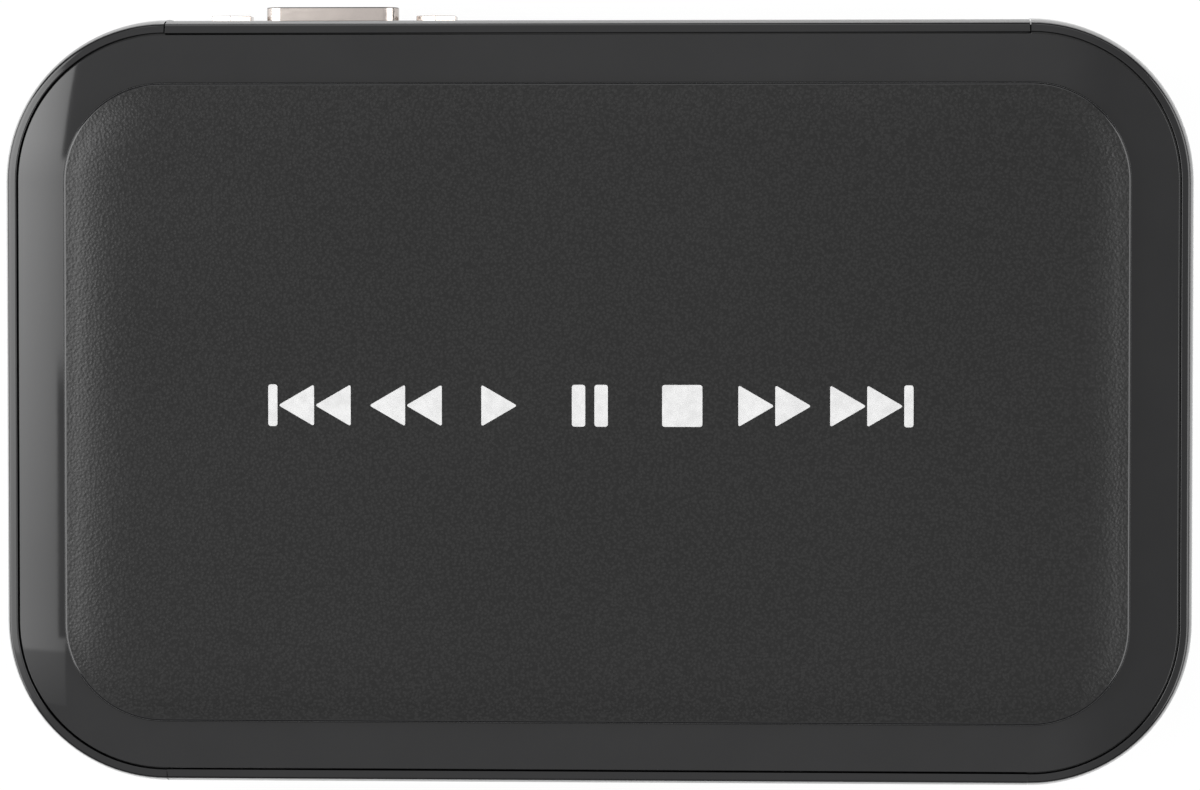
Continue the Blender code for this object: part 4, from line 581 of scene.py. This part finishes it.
# Lower case: curved wall, rim, ledge and floor, with the panel openings, vents, wells and posts
lowerSettings = {
    "baseInset": 0.003,
    "baseRise": 0.003,
    "baseSteps": 10,
    "lowerInset": 0.00035,
    "lowerSteps": 5,
    "bellyZ": 0.012,
    "bellySteps": 12,
    "rimInset": 0.0007,
    "rimCurve": 4,
    "rimRound": 0.00042,
    "rimStart": 14.0,
    "rimTurn": 66.0,
    "rimSteps": 7,
    "rimFall": 0.00012,
    "rimShares": (0.3, 0.6, 0.8, 0.92),
    "lipRound": 0.00014,
    "lipSteps": 4,
    "lip": 0.00115,
    "ledgeZ": 0.022,
    "wall": 0.002,
    "floorTop": 0.0032,
    "fillet": 0.0014,
    "openingHalves": {-1: 0.0519, 1: 0.052},
    "openingFoot": 0.005,
    "flangeInset": 0.00279,
    "ventWidth": 0.0018,
    "ventLength": 0.022,
    "ventPitch": 0.004,
    "ventRound": 0.98,
    "vents": 11,
    "pocketRadius": 0.0053,
    "pocketDepth": 0.001,
    "wellRadius": 0.0031,
    "wellTop": 0.006,
    "boreRadius": 0.0017,
    "bossRadius": 0.0046,
    "bossTop": 0.0102,
    "postRadius": 0.003,
    "postTop": 0.0057,
    "sink": 0.0005,
    "past": 0.001,
}


def wallInset(height):
    settings = lowerSettings
    lowerZ = caseSettings["footHeight"] + settings["baseRise"]
    if height < settings["bellyZ"]:
        share = (settings["bellyZ"] - height) / (settings["bellyZ"] - lowerZ)
        return settings["lowerInset"] * share ** 2
    share = (height - settings["bellyZ"]) / (caseSettings["rimHeight"] - settings["bellyZ"])
    return settings["rimInset"] * share ** settings["rimCurve"]


def lowerSection():
    settings = lowerSettings
    foot = caseSettings["footHeight"]
    rim = caseSettings["rimHeight"]
    section = []
    for step in range(settings["baseSteps"]):
        turn = math.pi / 2 * step / settings["baseSteps"]
        inset = settings["baseInset"] - (settings["baseInset"] - settings["lowerInset"]) * math.sin(turn)
        section.append((inset, foot + settings["baseRise"] * (1 - math.cos(turn))))
    shoulder = rim - settings["rimFall"] - settings["rimRound"]
    heights = (foot + settings["baseRise"], settings["bellyZ"], shoulder)
    for low, high, count in zip(heights, heights[1:], (settings["lowerSteps"], settings["bellySteps"])):
        for step in range(count):
            height = low + (high - low) * step / count
            section.append((wallInset(height), height))
    for step in range(settings["rimSteps"] + 1):
        start, whole = math.radians(settings["rimStart"]), math.radians(settings["rimTurn"])
        turn = start + whole * step / settings["rimSteps"]
        inset = settings["rimInset"] + settings["rimRound"] * (1 - math.cos(turn))
        section.append((inset, shoulder + settings["rimRound"] * math.sin(turn)))
    lipInset = settings["rimInset"] + settings["lip"]
    lipStart = lipInset - settings["lipRound"]
    rimEnd, rimEndZ = section[-1]
    for share in settings["rimShares"]:
        section.append((rimEnd + share * (lipStart - rimEnd), rimEndZ + share * (rim - rimEndZ)))
    for step in range(settings["lipSteps"] + 1):
        turn = math.pi / 2 * step / settings["lipSteps"]
        inset = lipStart + settings["lipRound"] * math.sin(turn)
        section.append((inset, rim - settings["lipRound"] * (1 - math.cos(turn))))
    section += [
        (lipInset, settings["ledgeZ"]),
        (settings["wall"] + wallInset(settings["ledgeZ"]), settings["ledgeZ"]),
        (settings["wall"], settings["bellyZ"]),
        (settings["wall"] + settings["lowerInset"], settings["floorTop"] + settings["fillet"]),
        (settings["wall"] + settings["lowerInset"] + settings["fillet"], settings["floorTop"]),
    ]
    return section


def addPanelOpenings(shape):
    settings = lowerSettings
    for side, half in settings["openingHalves"].items():
        inner = caseSettings["centreY"] + side * (caseSettings["depth"] / 2 - settings["flangeInset"])
        outer = caseSettings["centreY"] + side * (caseSettings["depth"] / 2 + settings["past"])
        addBox(shape, (-half, inner, settings["openingFoot"]),
               (half, outer, caseSettings["rimHeight"] + settings["past"]))


# Slots with round ends in the floor under the heat sink
def addVents(shape):
    settings = lowerSettings
    half = settings["ventWidth"] / 2
    reach = settings["ventLength"] / 2
    centreY = caseSettings["centreY"]
    for index in range(settings["vents"]):
        x = settings["ventPitch"] * (index - (settings["vents"] - 1) / 2)
        made = addBox(shape, (x - half, centreY - reach, caseSettings["footHeight"] - settings["past"]),
                      (x + half, centreY + reach, settings["floorTop"] + settings["past"]))
        uprights = [edge for edge in shape.edges if edge.verts[0] in made and edge.verts[1] in made
                    and abs(edge.verts[0].co.z - edge.verts[1].co.z) > settings["past"]]
        bmesh.ops.bevel(shape, geom=uprights, offset=half * settings["ventRound"], affect="EDGES",
                        segments=5, profile=0.5, material=-1)


def makeLowerCase():
    settings = lowerSettings
    foot = caseSettings["footHeight"]
    below = foot - settings["past"]
    rooted = settings["floorTop"] - settings["sink"]
    shape = bmesh.new()
    addRoundedShell(shape, lowerSection())
    lowerCase = addMesh("lowerCase", shape, caseSettings["crease"])
    posts = bmesh.new()
    openings = bmesh.new()
    bores = bmesh.new()
    addPanelOpenings(openings)
    addVents(openings)
    for corner in cornerNames:
        screw = middleOf("case_screw_" + corner)
        addBar(posts, settings["bossRadius"], screw, rooted, settings["bossTop"], 32)
        addBar(posts, settings["postRadius"], middleOf("board_screw_" + corner), rooted,
               settings["postTop"], 24)
        addBar(openings, settings["wellRadius"], screw, below, settings["wellTop"], 32)
        addBar(openings, settings["pocketRadius"], middleOf("rubber_foot_" + corner), below,
               foot + settings["pocketDepth"], 40)
        addBar(bores, settings["boreRadius"], screw, settings["wellTop"] - settings["past"],
               settings["bossTop"] + settings["past"], 24)
    cutWith(lowerCase, posts, "posts", "UNION")
    cutWith(lowerCase, openings, "openings")
    cutWith(lowerCase, bores, "bores")
    lowerCase.data.set_sharp_from_angle(angle=math.radians(caseSettings["crease"]))
    lowerCase.data.materials.clear()
    finishPiece(lowerCase, "player", "gloss_shell", glossShell)
    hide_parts("bottom_case")


makeLowerCase()
print("lower case made")


# Pieces that keep their solid's shape, with softened edges, and the ones inside the closed case
dressed = {
    "rear_panel": (glossShell, 0.00015),
    "front_panel": (glossShell, 0.00015),
    "vga_insulator": (socketBlue, 0.00008),
    "vga_jackscrew_left": (nickelPlate, 0.00012),
    "vga_jackscrew_right": (nickelPlate, 0.00012),
    "hdmi_shell": (nickelPlate, 0.00008),
    "hdmi_insulator": (darkPlastic, 0.00008),
    "av_jack": (darkPlastic, 0.00012),
    "dc_jack": (darkPlastic, 0.00012),
    "dc_centre_pin": (nickelPlate, 0.00008),
    "usb_shell_front": (nickelPlate, 0.00008),
    "usb_shell_rear": (nickelPlate, 0.00008),
    "usb_tongue_front": (darkPlastic, 0.00012),
    "usb_tongue_rear": (darkPlastic, 0.00012),
    "ir_window": (smokedWindow, 0.00015),
    "led_light_pipe": (clearPlastic, 0.0001),
}
for nodeName, (material, edge) in dressed.items():
    dressNode(nodeName, material, edge)
for corner in cornerNames:
    dressNode("rubber_foot_" + corner, rubberFinish, 0.0004, segments=4)
dressNode("power_button", glossShell, 0.00015, body="button")

# The video socket's rounded edges get a very dark metal: painted dark reflection, standing in for the dark
# surroundings they mirror
socketShell = dressNode("vga_shell", nickelPlate, 0.00026)
socketShell.data.materials.append(paintedDarkReflection)
socketShell.modifiers["softEdge"].material = 1

plain = {
    solderMask: ["main_board"],
    zincSteel: ["sd_cover", "crystal"] + [n for n in nodes if n.startswith("board_screw")],
    darkPlastic: ["sd_base", "switch_plunger"],
    chipEpoxy: ["ir_receiver", "tact_switch", "media_processor", "memory_chip_left", "memory_chip_right",
                "flash_chip", "audio_chip", "regulator"],
    padSilicone: ["thermal_pad"],
    bareAluminium: ["heat_sink", "capacitor_left", "capacitor_right"],
    ferriteBlack: ["inductor_front", "inductor_rear"],
    clearPlastic: ["status_led"],
}
for material, names in plain.items():
    for nodeName in names:
        for place in nodes[nodeName].material_slots:
            place.material = material
print("nodes finished")


# Case screws: a domed head with a cross recess, and a shank with its thread as fine ridges
screwSettings = {
    "radius": 0.0015,
    "headRadius": 0.0028,
    "dome": 0.0007,
    "domeSteps": 6,
    "headEdge": 0.0013,
    "thread": 0.0004,
    "ridge": 0.00022,
    "tip": 0.7,
    "slotWidth": 0.0007,
    "slotLength": 0.0032,
    "slotDepth": 0.0014,
    "slotTaper": (0.55, 0.55, 1.0),
    "steps": 28,
    "crease": 50.0,
}


def makeCaseScrew(nodeName):
    settings = screwSettings
    low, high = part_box(nodeName)
    place = Vector(((low.x + high.x) / 2, (low.y + high.y) / 2, low.z))
    profile = []
    for step in range(settings["domeSteps"] + 1):
        turn = math.pi / 2 * step / settings["domeSteps"]
        profile.append((settings["headRadius"] * math.sin(turn), settings["dome"] * (1 - math.cos(turn))))
    seat = settings["dome"] + settings["headEdge"]
    profile += [(settings["headRadius"], seat), (settings["radius"], seat)]
    height = seat + 2 * settings["thread"]
    length = high.z - low.z
    root = settings["radius"] - settings["ridge"]
    while height < length - 2 * settings["thread"]:
        profile += [(root, height), (settings["radius"], height + settings["thread"] / 2)]
        height += settings["thread"]
    profile += [(root, length - settings["ridge"]), (root * settings["tip"], length), (0.0, length)]
    shape = bmesh.new()
    addTurned(shape, profile, place, (0.0, 0.0, 1.0), steps=settings["steps"])
    screw = addMesh(nodeName + "Dressed", shape, settings["crease"])
    long, narrow = settings["slotLength"] / 2, settings["slotWidth"] / 2
    deep = Vector((0.0, 0.0, settings["slotDepth"]))
    for reach in (Vector((long, narrow, 0.0)), Vector((narrow, long, 0.0))):
        slot = bmesh.new()
        made = addBox(slot, place - reach - deep, place + reach + deep)
        inner = [v for v in made if v.co.z > place.z]
        bmesh.ops.scale(slot, vec=settings["slotTaper"], verts=inner, space=Matrix.Translation(-place))
        cutWith(screw, slot, "slot")
    screw.data.set_sharp_from_angle(angle=math.radians(settings["crease"]))
    finishPiece(screw, "player", "zinc_steel", zincSteel)
    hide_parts(nodeName)


for corner in cornerNames:
    makeCaseScrew("case_screw_" + corner)
print("case screws made")


# Gold contacts inside the sockets, where a plug or a card touches them
contactSettings = {
    "thickness": 0.00008,
    "leadIn": 0.3,
    "tipInset": 0.0006,
    "rootInset": 0.0032,
    "vgaColumns": 5,
    "vgaPitch": 0.00229,
    "vgaRow": 0.00198,
    "vgaSink": 0.0005,
    "vgaRadii": (0.00026, 0.00044),
    "vgaLength": 0.0025,
    "hdmiCounts": (10, 9),
    "hdmiPitch": 0.001,
    "hdmiWidth": 0.00045,
    "hdmiDrop": 0.0006,
    "hdmiTongue": 0.001,
    "usbPlaces": (-0.0035, -0.001, 0.001, 0.0035),
    "usbWidth": 0.001,
    "usbDrop": 0.0021,
    "cardCount": 9,
    "cardPitch": 0.0025,
    "cardWidth": 0.0008,
    "cardLength": 0.006,
    "cardInset": 0.0025,
    "cardFloor": 0.0006,
}


# Places of a number of things at one pitch, about a middle
def spaced(middle, pitch, count):
    return [middle + pitch * (index - (count - 1) / 2) for index in range(count)]


def finishContacts(name, shape):
    finishPiece(addMesh(name, shape), "player", "nickel", goldPlate)


def makeVgaContacts():
    settings = contactSettings
    shape = bmesh.new()
    middle = middleOf("vga_insulator")
    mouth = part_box("vga_insulator")[1].y - settings["vgaSink"]
    inner, outer = settings["vgaRadii"]
    ring = [(inner, 0.0), (outer, 0.0), (outer, settings["vgaLength"]), (inner, settings["vgaLength"])]
    for row in (1, 0, -1):
        across = -settings["vgaPitch"] / 4 if row else settings["vgaPitch"] / 4
        for x in spaced(middle.x + across, settings["vgaPitch"], settings["vgaColumns"]):
            place = (x, mouth, middle.z + row * settings["vgaRow"])
            addTurned(shape, ring, place, (0.0, -1.0, 0.0), closed=True, steps=12)
    finishContacts("vgaContacts", shape)


# Flat contact strips with their edges broken, under or over a tongue or on the card socket's floor
def addStrips(shape, places, width, front, back, height):
    thick = contactSettings["thickness"]
    for x in places:
        made = addBox(shape, (x - width / 2, min(front, back), height - thick / 2),
                      (x + width / 2, max(front, back), height + thick / 2))
        rim = list({edge for corner in made for edge in corner.link_edges})
        bmesh.ops.bevel(shape, geom=rim, offset=thick * contactSettings["leadIn"], affect="EDGES",
                        segments=1, profile=0.5, material=-1)


def makeStripContacts():
    settings = contactSettings
    shape = bmesh.new()
    low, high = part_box("hdmi_insulator")
    height = high.z - settings["hdmiDrop"]
    for count in settings["hdmiCounts"]:
        places = spaced((low.x + high.x) / 2, settings["hdmiPitch"], count)
        addStrips(shape, places, settings["hdmiWidth"], high.y - settings["tipInset"],
                  low.y + settings["rootInset"], height)
        height -= settings["hdmiTongue"]
    finishContacts("hdmiContacts", shape)
    for name, side in (("front", -1), ("rear", 1)):
        shape = bmesh.new()
        low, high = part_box("usb_tongue_" + name)
        places = [(low.x + high.x) / 2 + x for x in settings["usbPlaces"]]
        tip, root = (low.y, high.y) if side < 0 else (high.y, low.y)
        addStrips(shape, places, settings["usbWidth"], tip - side * settings["tipInset"],
                  root + side * settings["rootInset"], high.z - settings["usbDrop"])
        finishContacts(name + "UsbContacts", shape)
    shape = bmesh.new()
    low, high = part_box("sd_base")
    places = spaced((low.x + high.x) / 2, settings["cardPitch"], settings["cardCount"])
    start = high.y - settings["cardInset"]
    addStrips(shape, places, settings["cardWidth"], start - settings["cardLength"], start,
              low.z + settings["cardFloor"])
    finishContacts("cardContacts", shape)


makeVgaContacts()
makeStripContacts()
print("contacts made")


# White transport signs printed in a row on the raised panel
printSettings = {
    "centreX": -0.0005,
    "centreY": caseSettings["centreY"] - 0.0002,
    "height": 0.005,
    "pitch": 0.01103,
    "arrowReach": 0.86,
    "thickness": 0.00004,
    "sink": 0.00002,
    "corner": 0.0003,
    "crease": 20.0,
}

# Each sign's shapes in order: kind, place across, and a stripe's width or an arrow's direction,
# in shares of the signs' height
signs = (
    (("stripe", -0.98, 0.22), ("arrow", -0.42, -1), ("arrow", 0.46, -1)),
    (("arrow", -0.44, -1), ("arrow", 0.44, -1)),
    (("arrow", 0.04, 1),),
    (("stripe", -0.27, 0.32), ("stripe", 0.27, 0.32)),
    (("stripe", 0.0, 0.96),),
    (("arrow", -0.44, 1), ("arrow", 0.44, 1)),
    (("arrow", -0.46, 1), ("arrow", 0.42, 1), ("stripe", 0.98, 0.22)),
)


def addSignFace(shape, corners):
    face = shape.faces.new([shape.verts.new((x, y, 0.0)) for x, y in corners])
    bmesh.ops.bevel(shape, geom=list(face.verts), offset=printSettings["corner"], affect="VERTICES",
                    segments=3, profile=0.5, material=-1)


def addArrow(shape, x, direction):
    half = printSettings["height"] / 2
    reach = direction * half * printSettings["arrowReach"]
    addSignFace(shape, [(x - reach, -half), (x - reach, half), (x + reach, 0.0)][::direction])


def addStripe(shape, x, width):
    half = printSettings["height"] / 2
    side = width / 2
    addSignFace(shape, [(x - side, -half), (x + side, -half), (x + side, half), (x - side, half)])


def makePrint():
    settings = printSettings
    unit = settings["height"]
    shape = bmesh.new()
    for index, drawing in enumerate(signs):
        centre = settings["pitch"] * (index - (len(signs) - 1) / 2)
        for kind, across, extra in drawing:
            if kind == "arrow":
                addArrow(shape, centre + across * unit, extra)
            else:
                addStripe(shape, centre + across * unit, extra * unit)
    bmesh.ops.recalc_face_normals(shape, faces=shape.faces)
    raised = bmesh.ops.extrude_face_region(shape, geom=shape.faces[:], use_keep_orig=True)["geom"]
    raisedCorners = [part for part in raised if isinstance(part, bmesh.types.BMVert)]
    lift = settings["thickness"] + settings["sink"]
    bmesh.ops.translate(shape, vec=(0.0, 0.0, lift), verts=raisedCorners)
    bmesh.ops.recalc_face_normals(shape, faces=shape.faces)
    place = (settings["centreX"], settings["centreY"], caseSettings["top"] - settings["sink"])
    bmesh.ops.translate(shape, vec=place, verts=shape.verts)
    finishPiece(addMesh("printedSigns", shape, settings["crease"]), "player", "cover_plastic", printWhite)


makePrint()
print("print made")


# Floor, light and camera
stageSettings = {
    "floorSize": 6.0,
    "floorGap": 0.0001,
    "floorLight": (0.9, 0.9, 0.9, 1.0),
    "floorDark": (0.89, 0.89, 0.89, 1.0),
    "floorMottle": 3.0,
    "floorRough": 0.9,
    "floorGlow": 0.92,
    # Painted reflection: how brightly the floor glows in gloss surfaces, near the case's sides and farther
    # out, and the sides it follows
    "paintedReflectionLevels": (0.92, 0.12),
    "paintedReflectionSides": (("X", -1.0, cadHigh[0], 0.009), ("X", 1.0, cadHigh[0] - 0.008, 0.004),
                      ("Y", 1.0, cadHigh[1], 0.009), ("Y", -1.0, cadHigh[1] - 0.016, 0.004)),
    "paintedReflectionStart": 0.3,
    "skyForMatt": 0.62,
    "horizonRange": (0.35, 0.85),
    "horizonLevel": 0.03,
    "dimRange": (0.1, 0.28),
    "dimLevel": 0.78,
    "softboxes": (
        ("sideLight", (0.85, 0.0, 0.62), (1.1, 0.8), 4.0),
        ("lowLight", (-1.0, 0.0, 0.45), (1.1, 0.7), 5.0),
        ("rearLight", (0.1, 0.7, 0.72), (0.9, 0.25), 1.6),
    ),
    "aim": (0.0, 0.0, 0.02),
}


# White to the camera; to gloss surfaces the floor glows as a painted reflection, bright only close to some
# sides of the case
def makeFloor():
    settings = stageSettings
    shape = bmesh.new()
    bmesh.ops.create_grid(shape, x_segments=1, y_segments=1, size=settings["floorSize"])
    bmesh.ops.translate(shape, vec=(0.0, 0.0, -settings["floorGap"]), verts=shape.verts)
    floor = addMesh("floor", shape)
    material, tree = startMaterial("paleFloor")
    mottle = placeGroup(tree, mottleGroup, {
        "Scale": settings["floorMottle"], "Light": settings["floorLight"], "Dark": settings["floorDark"]})
    shader = feedSurface(tree, {"Roughness": settings["floorRough"], "Base Color": mottle.outputs["Color"]})
    rays = addNode(tree, "ShaderNodeLightPath").outputs
    parts = addNode(tree, "ShaderNodeSeparateXYZ", {"Vector": addObjectPlace(tree)}).outputs
    mirrored = rays["Is Glossy Ray"]
    # Painted reflection: gloss rays see the floor glow brightly near the listed sides of the case, dimmer
    # farther out
    for axis, side, edge, reach in settings["paintedReflectionSides"]:
        away = addMath(tree, "MULTIPLY", parts[axis], side)
        start = edge + settings["paintedReflectionStart"] * reach
        paintedReflectionFade = addRange(tree, away, start, edge + reach, *settings["paintedReflectionLevels"])
        mirrored = addMath(tree, "MINIMUM", mirrored, paintedReflectionFade)
    seen = addMath(tree, "MULTIPLY", rays["Is Camera Ray"], settings["floorGlow"])
    glow = addNode(tree, "ShaderNodeEmission", {"Strength": 1.0})
    blend = addNode(tree, "ShaderNodeMixShader", {
        "Fac": addMath(tree, "MAXIMUM", seen, mirrored),
        1: shader.outputs["BSDF"],
        2: glow.outputs["Emission"],
    })
    feed(tree, tree.nodes["Material Output"], {"Surface": blend.outputs["Shader"]})
    floor.data.materials.append(material)


# White where it is seen; a gloss surface shows a sky that dims towards the horizon
def makeSky():
    settings = stageSettings
    world = bpy.data.worlds.new("studio")
    scene.world = world
    world.use_nodes = True
    tree = world.node_tree
    rays = addNode(tree, "ShaderNodeLightPath").outputs
    place = addNode(tree, "ShaderNodeTexCoord").outputs["Generated"]
    parts = addNode(tree, "ShaderNodeSeparateXYZ", {"Vector": place}).outputs
    dome = addRange(tree, parts["Z"], *settings["horizonRange"], settings["horizonLevel"],
                    shape="SMOOTHSTEP")
    dim = addRange(tree, parts["X"], *settings["dimRange"], 1.0, settings["dimLevel"], "SMOOTHSTEP")
    mirrored = addNode(tree, "ShaderNodeMix", {
        "Factor": rays["Is Glossy Ray"],
        "A": settings["skyForMatt"],
        "B": addMath(tree, "MULTIPLY", dome, dim),
    }, data_type="FLOAT")
    level = addNode(tree, "ShaderNodeMix", {
        "Factor": addMath(tree, "MAXIMUM", rays["Is Camera Ray"], rays["Is Transmission Ray"]),
        "A": mirrored.outputs["Result"],
        "B": 1.0,
    }, data_type="FLOAT")
    feed(tree, tree.nodes["Background"], {
        "Color": (1.0, 1.0, 1.0, 1.0), "Strength": level.outputs["Result"]})


# A softbox given by its middle, its size and the brightness that a mirror would show
def addSoftbox(name, middle, size, radiance, aim):
    lamp = bpy.data.lights.new(name, "AREA")
    lamp.shape = "RECTANGLE"
    lamp.size = size[0]
    lamp.size_y = size[1]
    lamp.energy = radiance * math.pi * size[0] * size[1]
    piece = bpy.data.objects.new(name, lamp)
    scene.collection.objects.link(piece)
    piece.location = middle
    piece.rotation_euler = (Vector(aim) - Vector(middle)).to_track_quat("-Z", "Y").to_euler()
    piece.visible_camera = False
    return piece


# The key light hangs left of the object, level; its brightness changes across it and along it.
# Each patch that takes light away is a list of edges: a direction, where it starts and is full
keySettings = {
    "acrossRange": (-0.95, -0.43),
    "alongRange": (-0.32, 0.42),
    "height": 0.8,
    "turn": -3.0,
    "radiance": 6.8,
    "across": ((-0.572, 1.1), (-0.537, 0.96), (-0.503, 0.84), (-0.461, 0.66), (-0.425, 0.5)),
    "along": ((-0.32, 0.05), (-0.26, 0.1), (-0.185, 0.17), (-0.175, 0.38), (-0.085, 0.41), (0.003, 0.62),
              (0.024, 0.67), (0.15, 0.88), (0.4, 1.0)),
    "patches": (
        (((1.0, 0.0, 0.0), -0.463, -0.456), ((0.0, 1.0, 0.0), -0.018, -0.028),
         ((0.0, 1.0, 0.0), -0.148, -0.138)),
        (((1.0, -0.1148, 0.0), -0.4575, -0.4535), ((0.0, 1.0, 0.0), 0.085, 0.105)),
    ),
}


# Level of a light at each place along one direction, from (place, level) stops
def addLevelRamp(tree, source, stops):
    low, high = stops[0][0], stops[-1][0]
    ramp = addNode(tree, "ShaderNodeValToRGB", {"Fac": addRange(tree, source, low, high)})
    points = ramp.color_ramp.elements
    while len(points) < len(stops):
        points.new(0.5)
    for point, (place, level) in zip(points, stops):
        point.position = (place - low) / (high - low)
        point.color = (level, level, level, 1.0)
    return ramp.outputs["Color"]


def makeKeyLight():
    settings = keySettings
    (left, right), (front, rear) = settings["acrossRange"], settings["alongRange"]
    middle = ((left + right) / 2, (front + rear) / 2, settings["height"])
    below = (middle[0], middle[1], 0.0)
    piece = addSoftbox("keyLight", middle, (right - left, rear - front), settings["radiance"], below)
    piece.rotation_euler.z += math.radians(settings["turn"])
    piece.data.use_nodes = True
    tree = piece.data.node_tree
    place = addNode(tree, "ShaderNodeNewGeometry").outputs["Position"]
    parts = addNode(tree, "ShaderNodeSeparateXYZ", {"Vector": place}).outputs
    across = addLevelRamp(tree, parts["X"], settings["across"])
    along = addLevelRamp(tree, parts["Y"], settings["along"])
    level = addMath(tree, "MULTIPLY", across, along)
    for edges in settings["patches"]:
        shade = 1.0
        for direction, start, full in edges:
            measure = addNode(tree, "ShaderNodeVectorMath", {0: place, 1: direction},
                              operation="DOT_PRODUCT")
            shade = addMath(tree, "MULTIPLY", addRange(tree, measure.outputs["Value"], start, full), shade)
        level = addMath(tree, "MULTIPLY", level, addMath(tree, "SUBTRACT", 1.0, shade))
    feed(tree, tree.nodes["Emission"], {"Strength": level})


cameraSettings = {
    "place": (0.02951, 0.02133, 0.6),
    "tilt": (-2.877, -2.079),
    "focalPixels": 4813.3,
    "imageWidth": 1200,
    "sensor": 36.0,
    "clipStart": 0.01,
}


def makeCamera():
    settings = cameraSettings
    lens = bpy.data.cameras.new("camera")
    lens.sensor_width = settings["sensor"]
    lens.lens = settings["focalPixels"] / settings["imageWidth"] * settings["sensor"]
    lens.clip_start = settings["clipStart"]
    camera = bpy.data.objects.new("camera", lens)
    scene.collection.objects.link(camera)
    slopes = [math.tan(math.radians(angle)) for angle in settings["tilt"]]
    forward = Vector((*slopes, -1.0)).normalized()
    right = forward.cross(Vector((0.0, 1.0, 0.0))).normalized()
    up = right.cross(forward)
    turn = Matrix((right, up, -forward)).transposed()
    camera.matrix_world = Matrix.Translation(settings["place"]) @ turn.to_4x4()
    scene.camera = camera


makeFloor()
makeSky()
makeKeyLight()
for name, middle, size, radiance in stageSettings["softboxes"]:
    addSoftbox(name, middle, size, radiance, stageSettings["aim"])
makeCamera()
scene.view_settings.view_transform = "Standard"
print("stage made")
